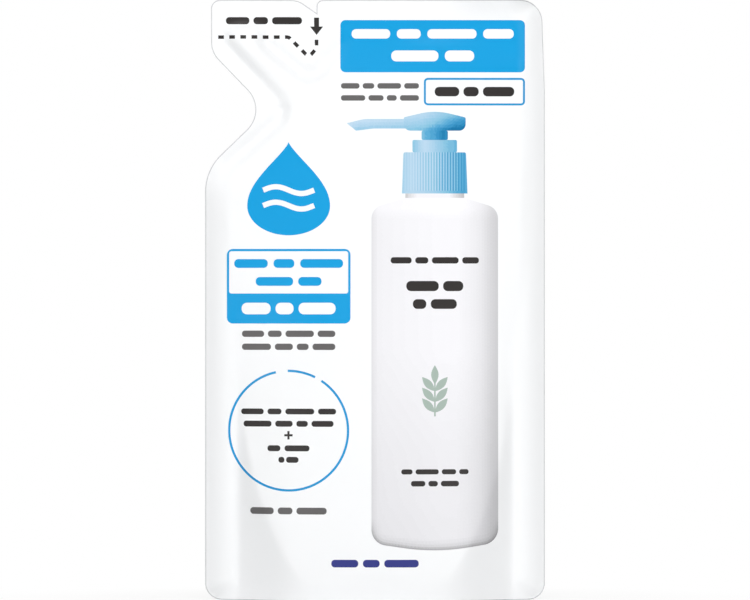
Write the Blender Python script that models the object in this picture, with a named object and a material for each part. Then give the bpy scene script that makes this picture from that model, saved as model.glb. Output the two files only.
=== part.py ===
"""Hand soap refill pouch, filled and standing on its folded bottom.

The front film, the back film and the folded gusset film are welded into one sealed pack,
so the pouch is one closed solid, full of soap. Its print is flat fields of colour on the front.

Metres. +Z is up, +X is to the right of the printed front, and the front faces -Y.
The origin lies under the middle of the pouch, on the surface that it stands on.
"""

import math

import bpy
import numpy as np
from mathutils import Vector
from mathutils.geometry import delaunay_2d_cdt

# Film and overall size
PACK_WIDTH = 0.110
PACK_HEIGHT = 0.194
FILM = 0.00018

# Outline of the welded film, with the spout tab at the top left
CORNER_RADIUS = 0.007
TAB_INSET = 0.002
TAB_CORNER_RADIUS = 0.0028
TAB_SIDE = 0.017
TAB_TURN_RADIUS = 0.008
WAIST_INSET = 0.020
WAIST_DROP = 0.0357
WAIST_RADIUS = 0.009
SHOULDER_DROP = 0.055
SHOULDER_RADIUS = 0.0165
TAPER = 0.001
TAPER_LENGTH = 0.029

# Tear notch in the top edge, beside the spout tab
NOTCH_FROM_LEFT = 0.0361
NOTCH_DEPTH = 0.0042
NOTCH_FLANK = 0.0061
NOTCH_FLANK_RADIUS = 0.0068
NOTCH_ARC_RADIUS = 0.0039

# Welded seams, and the pocket that holds the soap inside them
SIDE_SEAM = 0.006
TOP_SEAM = 0.012
SEAM_CORNER_RADIUS = 0.012
SPOUT_LEFT_SEAM = 0.0045
SPOUT_WIDTH = 0.0125
SPOUT_TIP_DROP = 0.008
SPOUT_MOUTH_DROP = 0.0135
SPOUT_TIP_RADIUS = 0.0035
NECK_SEAM_INSET = 0.0274
NECK_SEAM_RADIUS = 0.006
SHOULDER_SEAM_RADIUS = 0.013
LOBE_FROM_LEFT = 0.0345
LOBE_DROP = 0.0265
LOBE_RADIUS = 0.005
LOBE_END_FROM_LEFT = 0.046

# Flat fins beside the filled belly
FIN_WIDTH = 0.006
FIN_HEIGHT = 0.080
FIN_FADE = 0.035

# Belly, pushed out by the soap and a little air
BELLY_DEPTH = 0.0226
BELLY_POWER = 1.9
AIR_DEPTH = 0.0024
SPOUT_PUSH = 75.0
SPOUT_PUSH_REACH = 0.013

# Foot: the hem that the pouch stands on, and the gusset film folded up between its sides
HEM_HEIGHT = 0.005
FOOT_DEPTH = 0.0405
FOOT_FLARE = 0.85
FOOT_FLARE_RISE = 9.0
FOOT_LEAN = 0.10
FOOT_BOW_WIDTH = 0.150
FOOT_ARC_DROP = 0.006
GUSSET_FOLD_HEIGHT = 0.033
GUSSET_SEAM_POWER = 3.5
GUSSET_FLAT_SHARE = 0.6

# Print: its least distance from the film's sides, top and bottom, then the tear line and its arrow
PRINT_EDGE_MARGIN = 0.0015
TEAR_LEFT = 0.0043
TEAR_DROP = 0.0120
TEAR_STRAIGHT = 0.0228
TEAR_DIP = 0.0065
TEAR_RISE = 0.0029
TEAR_TURN_RADIUS = 0.0012
DASH_LENGTH = 0.00185
DASH_PITCH = 0.0036
DASH_WIDTH = 0.00115
ARROW_TOP_DROP = 0.0057
ARROW_NECK_DROP = 0.0086
ARROW_TIP_DROP = 0.0113
ARROW_SHAFT_WIDTH = 0.0016
ARROW_HEAD_WIDTH = 0.0042

# Print: the banner and the framed box under it, from the top right
PRINT_RIGHT_MARGIN = 0.0065
BANNER_WIDTH = 0.0597
BANNER_HEIGHT = 0.0169
BANNER_DROP = 0.0065
BANNER_RADIUS = 0.0016
FRAME_WIDTH = 0.0327
FRAME_HEIGHT = 0.0089
FRAME_DROP = 0.0252
FRAME_RADIUS = 0.0013
FRAME_LINE = 0.00065

# Print: the column on the left, with its drop, label and ring
COLUMN_FROM_LEFT = 0.0271
DROP_TOP_DROP = 0.0460
DROP_WIDTH = 0.0268
DROP_SHOULDER_HEIGHT = 0.0206
DROP_BELLY_HEIGHT = 0.0095
DROP_FLANK_POWER = 1.25
LABEL_WIDTH = 0.0400
LABEL_HEIGHT = 0.0241
LABEL_DROP = 0.0805
LABEL_RADIUS = 0.0019
LABEL_LINE = 0.00075
LABEL_FOOT_HEIGHT = 0.0097
RING_DROP = 0.1391
RING_RADIUS = 0.0196
RING_LINE = 0.00075
RING_GAPS = ((-12.3, -0.8), (26.5, 33.5))

# Print: the picture of a plain pump bottle, from its foot up
BOTTLE_FROM_RIGHT = 0.0357
BOTTLE_FOOT_DROP = 0.1767
BOTTLE_WIDTH = 0.0409
BOTTLE_HEIGHT = 0.1127
BOTTLE_FOOT_RADIUS = 0.0060
BOTTLE_SHOULDER_FALL = 0.0034
BOTTLE_SHOULDER_RADIUS = 0.0045
BOTTLE_SHADE_WIDTH = 0.0065
NECK_WIDTH = 0.0190
NECK_HEIGHT = 0.0014
CAP_WIDTH = 0.0212
CAP_TOP_WIDTH = 0.0202
CAP_HEIGHT = 0.0133
CAP_EDGE_RADIUS = 0.0005
COLLAR_WIDTH = 0.0144
COLLAR_HEIGHT = 0.0040
STEM_WIDTH = 0.0085
STEM_HEIGHT = 0.0030
HEAD_WIDTH = 0.0200
HEAD_HEIGHT = 0.0058
HEAD_EDGE_HEIGHT = 0.0048
HEAD_FOOT_RADIUS = 0.0026
HEAD_CROWN_RADIUS = 0.0400
NOZZLE_REACH = 0.0184
NOZZLE_TOP = 0.0044
NOZZLE_BOTTOM = 0.0012
NOZZLE_TIP_FALL = 0.0014
NOZZLE_LIP_SETBACK = 0.0030
NOZZLE_BEND_RADIUS = 0.0120
NOZZLE_BEND_SETBACK = 0.0055

# Print: plain bars, each as its width, its height and the gap above it
BANNER_BARS = ((0.0524, 0.0045, 0.0022), (0.0268, 0.0052, 0.0023))
FRAME_BARS = ((0.0257, 0.0045, 0.0022),)
NOTE_BARS = ((0.0252, 0.0026, 0.0013), (0.0252, 0.0026, 0.0013))
NOTE_GAP = 0.0016
LABEL_BARS = ((0.0352, 0.0042, 0.0026), (0.0213, 0.0042, 0.0016))
LABEL_FOOT_BARS = ((0.0304, 0.0055, 0.0021),)
UNDER_LABEL_BARS = ((0.0302, 0.0030, 0.0018), (0.0302, 0.0030, 0.0012))
RING_BARS_RISE = 0.0075
RING_BARS = ((0.0307, 0.0027, 0), (0.0291, 0.0028, 0.0012), (0.0136, 0.0028, 0.0051),
             (0.0065, 0.0028, 0.0009))
RING_PLUS_FALL = 0.0015
RING_PLUS_SIZE = 0.0027
RING_PLUS_LINE = 0.0007
TEAR_BARS = ((0.0246, 0.0034, 0.0050),)
TEAR_BARS_FROM_LEFT = 0.0191
CONTENTS_BARS = ((0.0247, 0.0032, 0.1633),)
BOTTLE_BARS = ((0.0285, 0.0030, 0.0187), (0.0184, 0.0048, 0.0044), (0.0142, 0.0046, 0.0011))
DROP_WAVE_WIDTH = 0.0165
DROP_WAVE_HEIGHT = 0.0022
DROP_WAVE_LINE = 0.0017
DROP_WAVE_DROPS = (0.0155, 0.0205)

# Colours of the print and the film, as linear red, green and blue
FILM_WHITE = (0.87, 0.88, 0.89)
PRINT_BLUE = (0.004, 0.390, 0.790)
PRINT_DARK = (0.018, 0.014, 0.013)
BOTTLE_GREY = (0.80, 0.80, 0.83)
BOTTLE_SHADE = (0.60, 0.60, 0.65)
PUMP_BLUE = (0.16, 0.42, 0.72)
CAP_BLUE = (0.30, 0.58, 0.84)
FILM_ROUGHNESS = 0.35

# How finely the film is divided
MESH_STEP = 0.0038
MESH_CLEARANCE = 0.0016
ARC_STEP = 0.0018
RING_ARC_STEP = 0.0054
DROP_BELLY_SIDES = 12
DROP_FLANK_SIDES = 8
WAVE_SIDES = 12
HEM_ROWS = 4
GUSSET_ROWS = 5
FOOT_COLUMNS = 28
GRID_STEP = 0.001
SWEEPS = 500
TINY = 1e-6

LEFT_EDGE = -PACK_WIDTH / 2
RIGHT_EDGE = PACK_WIDTH / 2
CREASE_X = RIGHT_EDGE - SIDE_SEAM - FIN_WIDTH


# Flat outlines, as points (x, z) in the plane of the film
def arc(centre, radius, start, end, step=ARC_STEP):
    """Points on an arc between two angles in radians, both ends included."""
    pieces = max(2, math.ceil(abs(end - start) * radius / step))
    angles = [start + (end - start) * i / pieces for i in range(pieces + 1)]
    return [(centre[0] + radius * math.cos(a), centre[1] + radius * math.sin(a)) for a in angles]


def rounded(corners, step=ARC_STEP):
    """Closed outline through corners (x, z, radius), each rounded by an arc that fits its sides."""
    points = []
    for i, (x, z, radius) in enumerate(corners):
        here = Vector((x, z))
        before = Vector(corners[i - 1][:2]) - here
        after = Vector(corners[(i + 1) % len(corners)][:2]) - here
        half_angle = before.angle(after) / 2
        if radius == 0 or math.cos(half_angle) < 1e-4:
            points.append((x, z))
            continue
        setback = min(radius / math.tan(half_angle), 0.49 * before.length, 0.49 * after.length)
        radius = setback * math.tan(half_angle)
        start = before.normalized() * setback
        end = after.normalized() * setback
        centre = (start + end).normalized() * math.hypot(radius, setback)
        first = math.atan2(start.y - centre.y, start.x - centre.x)
        last = math.atan2(end.y - centre.y, end.x - centre.x)
        sweep = (last - first + math.pi) % (2 * math.pi) - math.pi
        points += arc((x + centre.x, z + centre.y), radius, first, first + sweep, step)
    return points


def box_outline(left, bottom, width, height, radius):
    """Closed outline of a rectangle with round corners."""
    right = left + width
    top = bottom + height
    return rounded([(left, bottom, radius), (right, bottom, radius),
                    (right, top, radius), (left, top, radius)], radius)


def divided(outline, step):
    """The closed outline with its long sides divided, so that no side is longer than the step."""
    points = []
    for i, start in enumerate(outline):
        end = outline[(i + 1) % len(outline)]
        pieces = max(1, math.ceil(math.dist(start, end) / step - 1e-6))
        for k in range(pieces):
            t = k / pieces
            points.append((start[0] + (end[0] - start[0]) * t, start[1] + (end[1] - start[1]) * t))
    return points


def inside(x, z, outline):
    """True where a point lies inside the closed outline."""
    found = np.zeros(np.shape(x), dtype=bool)
    for i, (xa, za) in enumerate(outline):
        xb, zb = outline[i - 1]
        if za == zb:
            continue
        crossing = (za > z) != (zb > z)
        found ^= crossing & (x < (xb - xa) * (z - za) / (zb - za) + xa)
    return found


def one_side(outline, axis, limit, sign):
    """The part of a closed outline above (sign 1) or below (sign -1) a limit in x (0) or z (1)."""
    points = []
    for i, here in enumerate(outline):
        before = outline[i - 1]
        if (sign * before[axis] > sign * limit) != (sign * here[axis] > sign * limit):
            t = (limit - before[axis]) / (here[axis] - before[axis])
            points.append(tuple(b + (h - b) * t for b, h in zip(before, here)))
        if sign * here[axis] > sign * limit:
            points.append(here)
    return points


def on_film(outline):
    """The part of a printed outline that keeps clear of the film's cut edges."""
    for axis, low, high in ((0, LEFT_EDGE, RIGHT_EDGE), (1, 0, PACK_HEIGHT)):
        outline = one_side(outline, axis, low + PRINT_EDGE_MARGIN, 1)
        outline = one_side(outline, axis, high - PRINT_EDGE_MARGIN, -1)
    return outline


def pack_outline():
    """The cut edge of the film, anticlockwise seen from the front."""
    tab_edge = LEFT_EDGE + TAB_INSET
    notch_x = LEFT_EDGE + NOTCH_FROM_LEFT
    notch_z = PACK_HEIGHT - NOTCH_DEPTH
    corners = [
        (LEFT_EDGE, 0, CORNER_RADIUS),
        (-CREASE_X, 0, 0),
        (CREASE_X, 0, 0),
        (RIGHT_EDGE, 0, CORNER_RADIUS),
        (RIGHT_EDGE, PACK_HEIGHT - TAPER_LENGTH, 0),
        (RIGHT_EDGE - TAPER, PACK_HEIGHT, CORNER_RADIUS),
        (notch_x, PACK_HEIGHT, NOTCH_ARC_RADIUS),
        (notch_x, notch_z, 0),
        (notch_x - NOTCH_FLANK, PACK_HEIGHT, NOTCH_FLANK_RADIUS),
        (tab_edge, PACK_HEIGHT, TAB_CORNER_RADIUS),
        (tab_edge, PACK_HEIGHT - TAB_SIDE, TAB_TURN_RADIUS),
        (LEFT_EDGE + WAIST_INSET, PACK_HEIGHT - WAIST_DROP, WAIST_RADIUS),
        (LEFT_EDGE, PACK_HEIGHT - SHOULDER_DROP, SHOULDER_RADIUS),
    ]
    return rounded(corners)


def seam_outline():
    """The inner edge of the welds, where the films part and the soap begins."""
    seam_left = LEFT_EDGE + SIDE_SEAM
    seam_right = RIGHT_EDGE - SIDE_SEAM
    seam_top = PACK_HEIGHT - TOP_SEAM
    fade_z = FIN_HEIGHT + FIN_FADE
    spout_left = LEFT_EDGE + TAB_INSET + SPOUT_LEFT_SEAM
    spout_right = spout_left + SPOUT_WIDTH
    spout_top = PACK_HEIGHT - SPOUT_TIP_DROP
    mouth_z = PACK_HEIGHT - SPOUT_MOUTH_DROP
    lobe_x = LEFT_EDGE + LOBE_FROM_LEFT
    lobe_z = PACK_HEIGHT - LOBE_DROP
    corners = [
        (-CREASE_X, -SIDE_SEAM, 0),
        (CREASE_X, -SIDE_SEAM, 0),
        (CREASE_X, FIN_HEIGHT, FIN_HEIGHT),
        (seam_right, fade_z, FIN_HEIGHT),
        (seam_right, seam_top, SEAM_CORNER_RADIUS),
        (LEFT_EDGE + LOBE_END_FROM_LEFT, seam_top, LOBE_RADIUS),
        (lobe_x, lobe_z, LOBE_RADIUS),
        (spout_right, mouth_z, LOBE_RADIUS),
        (spout_right, spout_top, SPOUT_TIP_RADIUS),
        (spout_left, spout_top, SPOUT_TIP_RADIUS),
        (spout_left, mouth_z, LOBE_RADIUS),
        (LEFT_EDGE + NECK_SEAM_INSET, PACK_HEIGHT - WAIST_DROP, NECK_SEAM_RADIUS),
        (seam_left, PACK_HEIGHT - SHOULDER_DROP, SHOULDER_SEAM_RADIUS),
        (seam_left, fade_z, FIN_HEIGHT),
        (-CREASE_X, FIN_HEIGHT, FIN_HEIGHT),
    ]
    return rounded(corners)


# The form of the filled film, as the half depth of the pouch at a place (x, z)
def eased(value, start, end):
    """Rises smoothly from 0 to 1 as the value goes from start to end."""
    t = np.clip((value - start) / (end - start), 0, 1)
    return t * t * (3 - 2 * t)


def soft_min(a, b, sharpness=6):
    """The smaller of two lengths, with the change from one to the other rounded off."""
    return a * b / (a ** sharpness + b ** sharpness) ** (1 / sharpness)


def fin_depth(z):
    """Half depth at the flat fins: the folded gusset lies between the films in the foot."""
    return FILM * (1 - eased(z, GUSSET_FOLD_HEIGHT, GUSSET_FOLD_HEIGHT + HEM_HEIGHT))


def foot_depth(x, z):
    """Half depth of the foot: a flat ramp in from each fin, and a bowed front between them."""
    ramp = (FOOT_FLARE + FOOT_FLARE_RISE * z) * np.maximum(CREASE_X - np.abs(x), TINY)
    bow = np.sqrt(np.maximum(1 - (2 * x / FOOT_BOW_WIDTH) ** 2, TINY))
    front = FOOT_DEPTH / 2 * bow + FOOT_LEAN * z
    return soft_min(ramp, front)


def foot_line(x):
    """Height of the line where the foot ends and the belly begins, an arc that rises to the fins."""
    across = np.clip(np.abs(x) / CREASE_X, 0, 1)
    arc_height = FIN_HEIGHT - (FIN_HEIGHT + FOOT_ARC_DROP) * np.sqrt(1 - across ** 2)
    return np.maximum(arc_height, HEM_HEIGHT)


class BellyForm:
    """Half depth of the film over a grid, held at the welds and pushed out by what it holds."""

    def __init__(self, step=GRID_STEP, sweeps=SWEEPS):
        self.step = step
        self.x0 = LEFT_EDGE - 3 * step
        self.z0 = -3 * step
        across = math.ceil(PACK_WIDTH / step) + 7
        up = math.ceil(PACK_HEIGHT / step) + 7
        x, z = np.meshgrid(self.x0 + step * np.arange(across), self.z0 + step * np.arange(up))
        above_floor = np.maximum(z, 0)
        in_seam = inside(x, z, seam_outline())
        free = in_seam & (z > foot_line(x))
        fixed = fin_depth(above_floor)
        foot = (np.abs(x) < CREASE_X) & (z <= foot_line(x))
        fixed = np.where(foot, fixed + foot_depth(x, above_floor), fixed)
        self.depth = self.relaxed(np.where(free, 0.5 * BELLY_DEPTH, fixed), free, self.push(x, z), sweeps)

    def push(self, x, z):
        """Outward push at a place: the soap's and the air's, and more in the narrow spout."""
        half_width = RIGHT_EDGE - SIDE_SEAM
        level = np.clip(1 - z / (PACK_HEIGHT - TOP_SEAM), 0, 1)
        body = 2 * (BELLY_DEPTH * level ** BELLY_POWER + AIR_DEPTH) / half_width ** 2
        spout_x = LEFT_EDGE + TAB_INSET + SPOUT_LEFT_SEAM + SPOUT_WIDTH / 2
        spout_z = PACK_HEIGHT - SPOUT_MOUTH_DROP
        away = np.hypot(x - spout_x, z - spout_z) / SPOUT_PUSH_REACH
        return body + SPOUT_PUSH * np.exp(-away ** 2)

    def relaxed(self, depth, free, push, sweeps):
        """The depth after the free points have settled between their neighbours."""
        odd = np.indices(depth.shape).sum(axis=0) % 2 == 1
        factor = 2 / (1 + math.sin(math.pi / min(depth.shape)))
        for _ in range(sweeps):
            for points in (free & odd, free & ~odd):
                around = np.zeros_like(depth)
                around[1:-1, 1:-1] = (depth[:-2, 1:-1] + depth[2:, 1:-1]
                                      + depth[1:-1, :-2] + depth[1:-1, 2:])
                settled = (around + push * self.step ** 2) / 4
                depth[points] += factor * (settled - depth)[points]
        return depth

    def at(self, x, z):
        """Half depth at any place, by straight interpolation in the grid."""
        column = np.clip((np.asarray(x) - self.x0) / self.step, 0, self.depth.shape[1] - 1.001)
        row = np.clip((np.asarray(z) - self.z0) / self.step, 0, self.depth.shape[0] - 1.001)
        i = column.astype(int)
        j = row.astype(int)
        u = column - i
        v = row - j
        low = self.depth[j, i] * (1 - u) + self.depth[j, i + 1] * u
        high = self.depth[j + 1, i] * (1 - u) + self.depth[j + 1, i + 1] * u
        return low * (1 - v) + high * v


def gusset_seam(x):
    """Height on the front and back film where the gusset film parts from them."""
    across = np.clip(np.abs(x) / CREASE_X, 0, 1)
    return HEM_HEIGHT + (GUSSET_FOLD_HEIGHT - HEM_HEIGHT) * across ** GUSSET_SEAM_POWER


def gusset_section(x, form):
    """Gusset film across the pouch at one place: half gap, seam height, flat half width, lowest height.

    The film from the seam to the fold keeps its length, so where it is long enough it lies flat
    on the floor, and nearer the fins it hangs between its seams.
    """
    seam = float(gusset_seam(x))
    half_gap = max(float(form.at(x, seam)) - FILM, 0)
    film_length = GUSSET_FOLD_HEIGHT - seam
    if film_length > math.hypot(half_gap, seam):
        spare = film_length ** 2 - half_gap ** 2 - seam ** 2
        flat = min(spare / (2 * (film_length - half_gap)), GUSSET_FLAT_SHARE * half_gap)
        return half_gap, seam, flat, 0.0
    hang = math.sqrt(max(film_length ** 2 - half_gap ** 2, 0))
    return half_gap, seam, 0.0, max(seam - hang, 0.0)


def foot_profile(x, form, at_end):
    """Points (y, z) from the front hem's edge up its inner side, across the gusset and down the back."""
    half_gap, seam, flat, lowest = gusset_section(x, form)
    front = []
    for row in range(HEM_ROWS + 1):
        z = seam * row / HEM_ROWS
        front.append((0.0 if at_end else -max(float(form.at(x, z)) - FILM, FILM / 4), z))
    for row in range(1, GUSSET_ROWS + 1):
        t = 1 - row / GUSSET_ROWS
        y = flat + (half_gap - flat) * t
        front.append((0.0 if at_end else -y, lowest + (seam - lowest) * t * t))
    middle = [(0.0, lowest)]
    back = [(-y, z) for y, z in reversed(front)]
    return front + middle + back


# Print fields: a material name and a closed outline each, later ones over earlier ones
def ribbon(path, width):
    """Closed outline of a line of one width drawn along a path."""
    left = []
    right = []
    for i, point in enumerate(path):
        before = path[max(i - 1, 0)]
        after = path[min(i + 1, len(path) - 1)]
        along = (Vector(after) - Vector(before)).normalized() * width / 2
        left.append((point[0] - along.y, point[1] + along.x))
        right.append((point[0] + along.y, point[1] - along.x))
    return left + right[::-1]


def stretch_of(path, start, end):
    """The part of a path between two distances along it."""
    points = []
    walked = 0.0
    for a, b in zip(path, path[1:]):
        length = math.dist(a, b)
        for distance in (start, end):
            if walked <= distance < walked + length:
                t = (distance - walked) / length
                points.append((a[0] + (b[0] - a[0]) * t, a[1] + (b[1] - a[1]) * t))
        if start < walked + length < end:
            points.append(b)
        walked += length
    return points


def tear_line_fields():
    """Dashes from the tab's edge, round a dip and up to the notch, and the arrow over it."""
    notch_x = LEFT_EDGE + NOTCH_FROM_LEFT
    line_z = PACK_HEIGHT - TEAR_DROP
    bend_x = LEFT_EDGE + TEAR_LEFT + TEAR_STRAIGHT
    low = (bend_x + TEAR_DIP, line_z - TEAR_DIP, TEAR_TURN_RADIUS)
    path = rounded([(LEFT_EDGE + TEAR_LEFT, line_z, 0), (bend_x, line_z, TEAR_TURN_RADIUS), low,
                    (notch_x, low[1] + TEAR_RISE, TEAR_TURN_RADIUS), (notch_x, line_z, 0)])
    length = sum(math.dist(a, b) for a, b in zip(path, path[1:]))
    dashes = int(length / DASH_PITCH) + 1
    fields = bars(LEFT_EDGE + TEAR_BARS_FROM_LEFT, PACK_HEIGHT, TEAR_BARS, "print_dark")
    for k in range(dashes):
        start = k * DASH_PITCH
        end = min(start + DASH_LENGTH, length - TINY)
        dash = stretch_of(path, start, end)
        if end - start > DASH_LENGTH / 2 and len(dash) > 1:
            fields.append(("print_dark", ribbon(dash, DASH_WIDTH)))
    shaft = ARROW_SHAFT_WIDTH / 2
    head = ARROW_HEAD_WIDTH / 2
    neck_z = PACK_HEIGHT - ARROW_NECK_DROP
    top_z = PACK_HEIGHT - ARROW_TOP_DROP
    arrow = [(notch_x, PACK_HEIGHT - ARROW_TIP_DROP), (notch_x + head, neck_z), (notch_x + shaft, neck_z),
             (notch_x + shaft, top_z), (notch_x - shaft, top_z), (notch_x - shaft, neck_z),
             (notch_x - head, neck_z)]
    fields.append(("print_dark", arrow))
    return fields


def bars(x, top, sizes, material):
    """Plain round-ended bars, one under another below a height."""
    fields = []
    for width, height, gap in sizes:
        top -= gap + height
        fields.append((material, box_outline(x - width / 2, top, width, height, height / 3)))
    return fields


def framed_box(left, bottom, width, height, radius, line):
    """A box drawn as a line round a white field."""
    inner = box_outline(left + line, bottom + line, width - 2 * line, height - 2 * line, radius - line)
    return [("print_blue", box_outline(left, bottom, width, height, radius)), ("film_white", inner)]


def heading_fields():
    """The banner at the top right, the framed box under it and the small note beside the box."""
    right = RIGHT_EDGE - PRINT_RIGHT_MARGIN
    banner_top = PACK_HEIGHT - BANNER_DROP
    banner = box_outline(right - BANNER_WIDTH, banner_top - BANNER_HEIGHT, BANNER_WIDTH, BANNER_HEIGHT,
                         BANNER_RADIUS)
    frame_top = PACK_HEIGHT - FRAME_DROP
    frame_left = right - FRAME_WIDTH
    frame = framed_box(frame_left, frame_top - FRAME_HEIGHT, FRAME_WIDTH, FRAME_HEIGHT, FRAME_RADIUS,
                       FRAME_LINE)
    note_x = frame_left - NOTE_GAP - NOTE_BARS[0][0] / 2
    return ([("print_blue", banner)] + bars(right - BANNER_WIDTH / 2, banner_top, BANNER_BARS, "film_white")
            + frame + bars(right - FRAME_WIDTH / 2, frame_top, FRAME_BARS, "print_dark")
            + bars(note_x, frame_top, NOTE_BARS, "print_dark"))


def drop_outline(x, top):
    """A drop of liquid: a flattened round belly and two flanks that meet in a point."""
    half = DROP_WIDTH / 2
    wide_z = top - DROP_SHOULDER_HEIGHT
    belly = []
    for k in range(DROP_BELLY_SIDES + 1):
        angle = math.pi + math.pi * k / DROP_BELLY_SIDES
        belly.append((x + half * math.cos(angle), wide_z + DROP_BELLY_HEIGHT * math.sin(angle)))
    flank = []
    for k in range(1, DROP_FLANK_SIDES):
        t = k / DROP_FLANK_SIDES
        width = half * math.cos(t * math.pi / 2) ** DROP_FLANK_POWER
        flank.append((x + width, wide_z + DROP_SHOULDER_HEIGHT * t))
    mirrored = [(2 * x - px, pz) for px, pz in reversed(flank)]
    return belly + flank + [(x, top)] + mirrored


def wave(x, z):
    """A white wave line across the drop."""
    path = []
    for k in range(WAVE_SIDES + 1):
        t = k / WAVE_SIDES
        rise = DROP_WAVE_HEIGHT / 2 * math.sin(2 * math.pi * t)
        path.append((x + DROP_WAVE_WIDTH * (t - 0.5), z + rise))
    return ("film_white", ribbon(path, DROP_WAVE_LINE))


def ring_fields(x, z):
    """The thin ring, as one curved band between each pair of gaps."""
    fields = []
    for i, gap in enumerate(RING_GAPS):
        following = RING_GAPS[(i + 1) % len(RING_GAPS)]
        start = math.radians(90 - gap[1])
        end = math.radians(90 - following[0])
        if end > start:
            end -= 2 * math.pi
        outer = arc((x, z), RING_RADIUS, start, end, RING_ARC_STEP)
        inner = arc((x, z), RING_RADIUS - RING_LINE, end, start, RING_ARC_STEP)
        fields.append(("print_blue", outer + inner))
    plus_z = z - RING_PLUS_FALL
    for width, height in ((RING_PLUS_LINE, RING_PLUS_SIZE), (RING_PLUS_SIZE, RING_PLUS_LINE)):
        corner = (x - width / 2, plus_z - height / 2)
        fields.append(("print_dark", [corner, (corner[0] + width, corner[1]),
                                      (corner[0] + width, corner[1] + height),
                                      (corner[0], corner[1] + height)]))
    return fields + bars(x, z + RING_BARS_RISE, RING_BARS, "print_dark")


def column_fields():
    """The drop, the two-part label, the ring and the contents line, one under the other."""
    x = LEFT_EDGE + COLUMN_FROM_LEFT
    drop_top = PACK_HEIGHT - DROP_TOP_DROP
    drop = [("print_blue", drop_outline(x, drop_top))]
    drop += [wave(x, drop_top - fall) for fall in DROP_WAVE_DROPS]
    label_top = PACK_HEIGHT - LABEL_DROP
    label_z = label_top - LABEL_HEIGHT
    left = x - LABEL_WIDTH / 2
    label = [("print_blue", box_outline(left, label_z, LABEL_WIDTH, LABEL_HEIGHT, LABEL_RADIUS))]
    foot_top = label_z + LABEL_FOOT_HEIGHT
    window = box_outline(left + LABEL_LINE, foot_top, LABEL_WIDTH - 2 * LABEL_LINE,
                         LABEL_HEIGHT - LABEL_FOOT_HEIGHT - LABEL_LINE, LABEL_LINE)
    label.append(("film_white", window))
    label += bars(x, label_top, LABEL_BARS, "print_blue") + bars(x, foot_top, LABEL_FOOT_BARS, "film_white")
    label += bars(x, label_z, UNDER_LABEL_BARS, "print_dark")
    contents = bars(x, PACK_HEIGHT, CONTENTS_BARS, "print_dark")
    return drop + label + ring_fields(x, PACK_HEIGHT - RING_DROP) + contents


def bottle_body(x, foot_z):
    """Outline of the printed bottle without its pump: round foot, straight sides, sloping shoulders."""
    half = BOTTLE_WIDTH / 2
    neck = NECK_WIDTH / 2
    top = foot_z + BOTTLE_HEIGHT
    shoulder_z = top - BOTTLE_SHOULDER_FALL
    return rounded([
        (x - half, foot_z, BOTTLE_FOOT_RADIUS), (x + half, foot_z, BOTTLE_FOOT_RADIUS),
        (x + half, shoulder_z, BOTTLE_SHOULDER_RADIUS), (x + neck, top, 0),
        (x - neck, top, 0), (x - half, shoulder_z, BOTTLE_SHOULDER_RADIUS)])


def pump_head(x, z):
    """Outline of the pump's head: a round foot, upright edges and a low crown."""
    half = HEAD_WIDTH / 2
    crown_z = z + 2 * HEAD_HEIGHT - HEAD_EDGE_HEIGHT
    return rounded([
        (x - half, z, HEAD_FOOT_RADIUS), (x + half, z, HEAD_FOOT_RADIUS),
        (x + half, z + HEAD_EDGE_HEIGHT, CAP_EDGE_RADIUS), (x, crown_z, HEAD_CROWN_RADIUS),
        (x - half, z + HEAD_EDGE_HEIGHT, CAP_EDGE_RADIUS)])


def pump_nozzle(head_left, z):
    """Outline of the slim nozzle that runs out of the head and bends down to its cut tip."""
    root = head_left + HEAD_FOOT_RADIUS
    tip = head_left - NOZZLE_REACH
    top = z + NOZZLE_TOP
    bottom = z + NOZZLE_BOTTOM
    bend = tip + NOZZLE_BEND_SETBACK
    lip = tip + NOZZLE_LIP_SETBACK
    return rounded([
        (root, bottom, 0), (root, top, 0), (bend, top, NOZZLE_BEND_RADIUS),
        (tip, top - NOZZLE_TIP_FALL, 0), (lip, bottom - NOZZLE_TIP_FALL / 2, 0),
        (lip + NOZZLE_BEND_SETBACK, bottom, NOZZLE_BEND_RADIUS)])


def bottle_fields():
    """A plain pump bottle as flat fields: body, its shaded side, neck, cap, collar, stem and pump."""
    x = RIGHT_EDGE - BOTTLE_FROM_RIGHT
    foot_z = PACK_HEIGHT - BOTTLE_FOOT_DROP
    body = bottle_body(x, foot_z)
    fields = [("bottle_grey", body),
              ("bottle_shade", one_side(body, 0, x + BOTTLE_WIDTH / 2 - BOTTLE_SHADE_WIDTH, 1))]
    z = foot_z + BOTTLE_HEIGHT
    fields += bars(x, z, BOTTLE_BARS, "print_dark")
    neck = NECK_WIDTH / 2
    fields.append(("bottle_grey", [(x - neck, z), (x + neck, z), (x + neck, z + NECK_HEIGHT),
                                   (x - neck, z + NECK_HEIGHT)]))
    z += NECK_HEIGHT
    cap_foot = CAP_WIDTH / 2
    cap_top = CAP_TOP_WIDTH / 2
    fields.append(("cap_blue", rounded([
        (x - cap_foot, z, 0), (x + cap_foot, z, 0), (x + cap_top, z + CAP_HEIGHT, CAP_EDGE_RADIUS),
        (x - cap_top, z + CAP_HEIGHT, CAP_EDGE_RADIUS)])))
    z += CAP_HEIGHT
    for width, height in ((COLLAR_WIDTH, COLLAR_HEIGHT), (STEM_WIDTH, STEM_HEIGHT)):
        fields.append(("pump_blue", box_outline(x - width / 2, z, width, height, CAP_EDGE_RADIUS)))
        z += height
    fields.append(("cap_blue", pump_nozzle(x - HEAD_WIDTH / 2, z)))
    fields.append(("cap_blue", pump_head(x, z)))
    return fields


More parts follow.
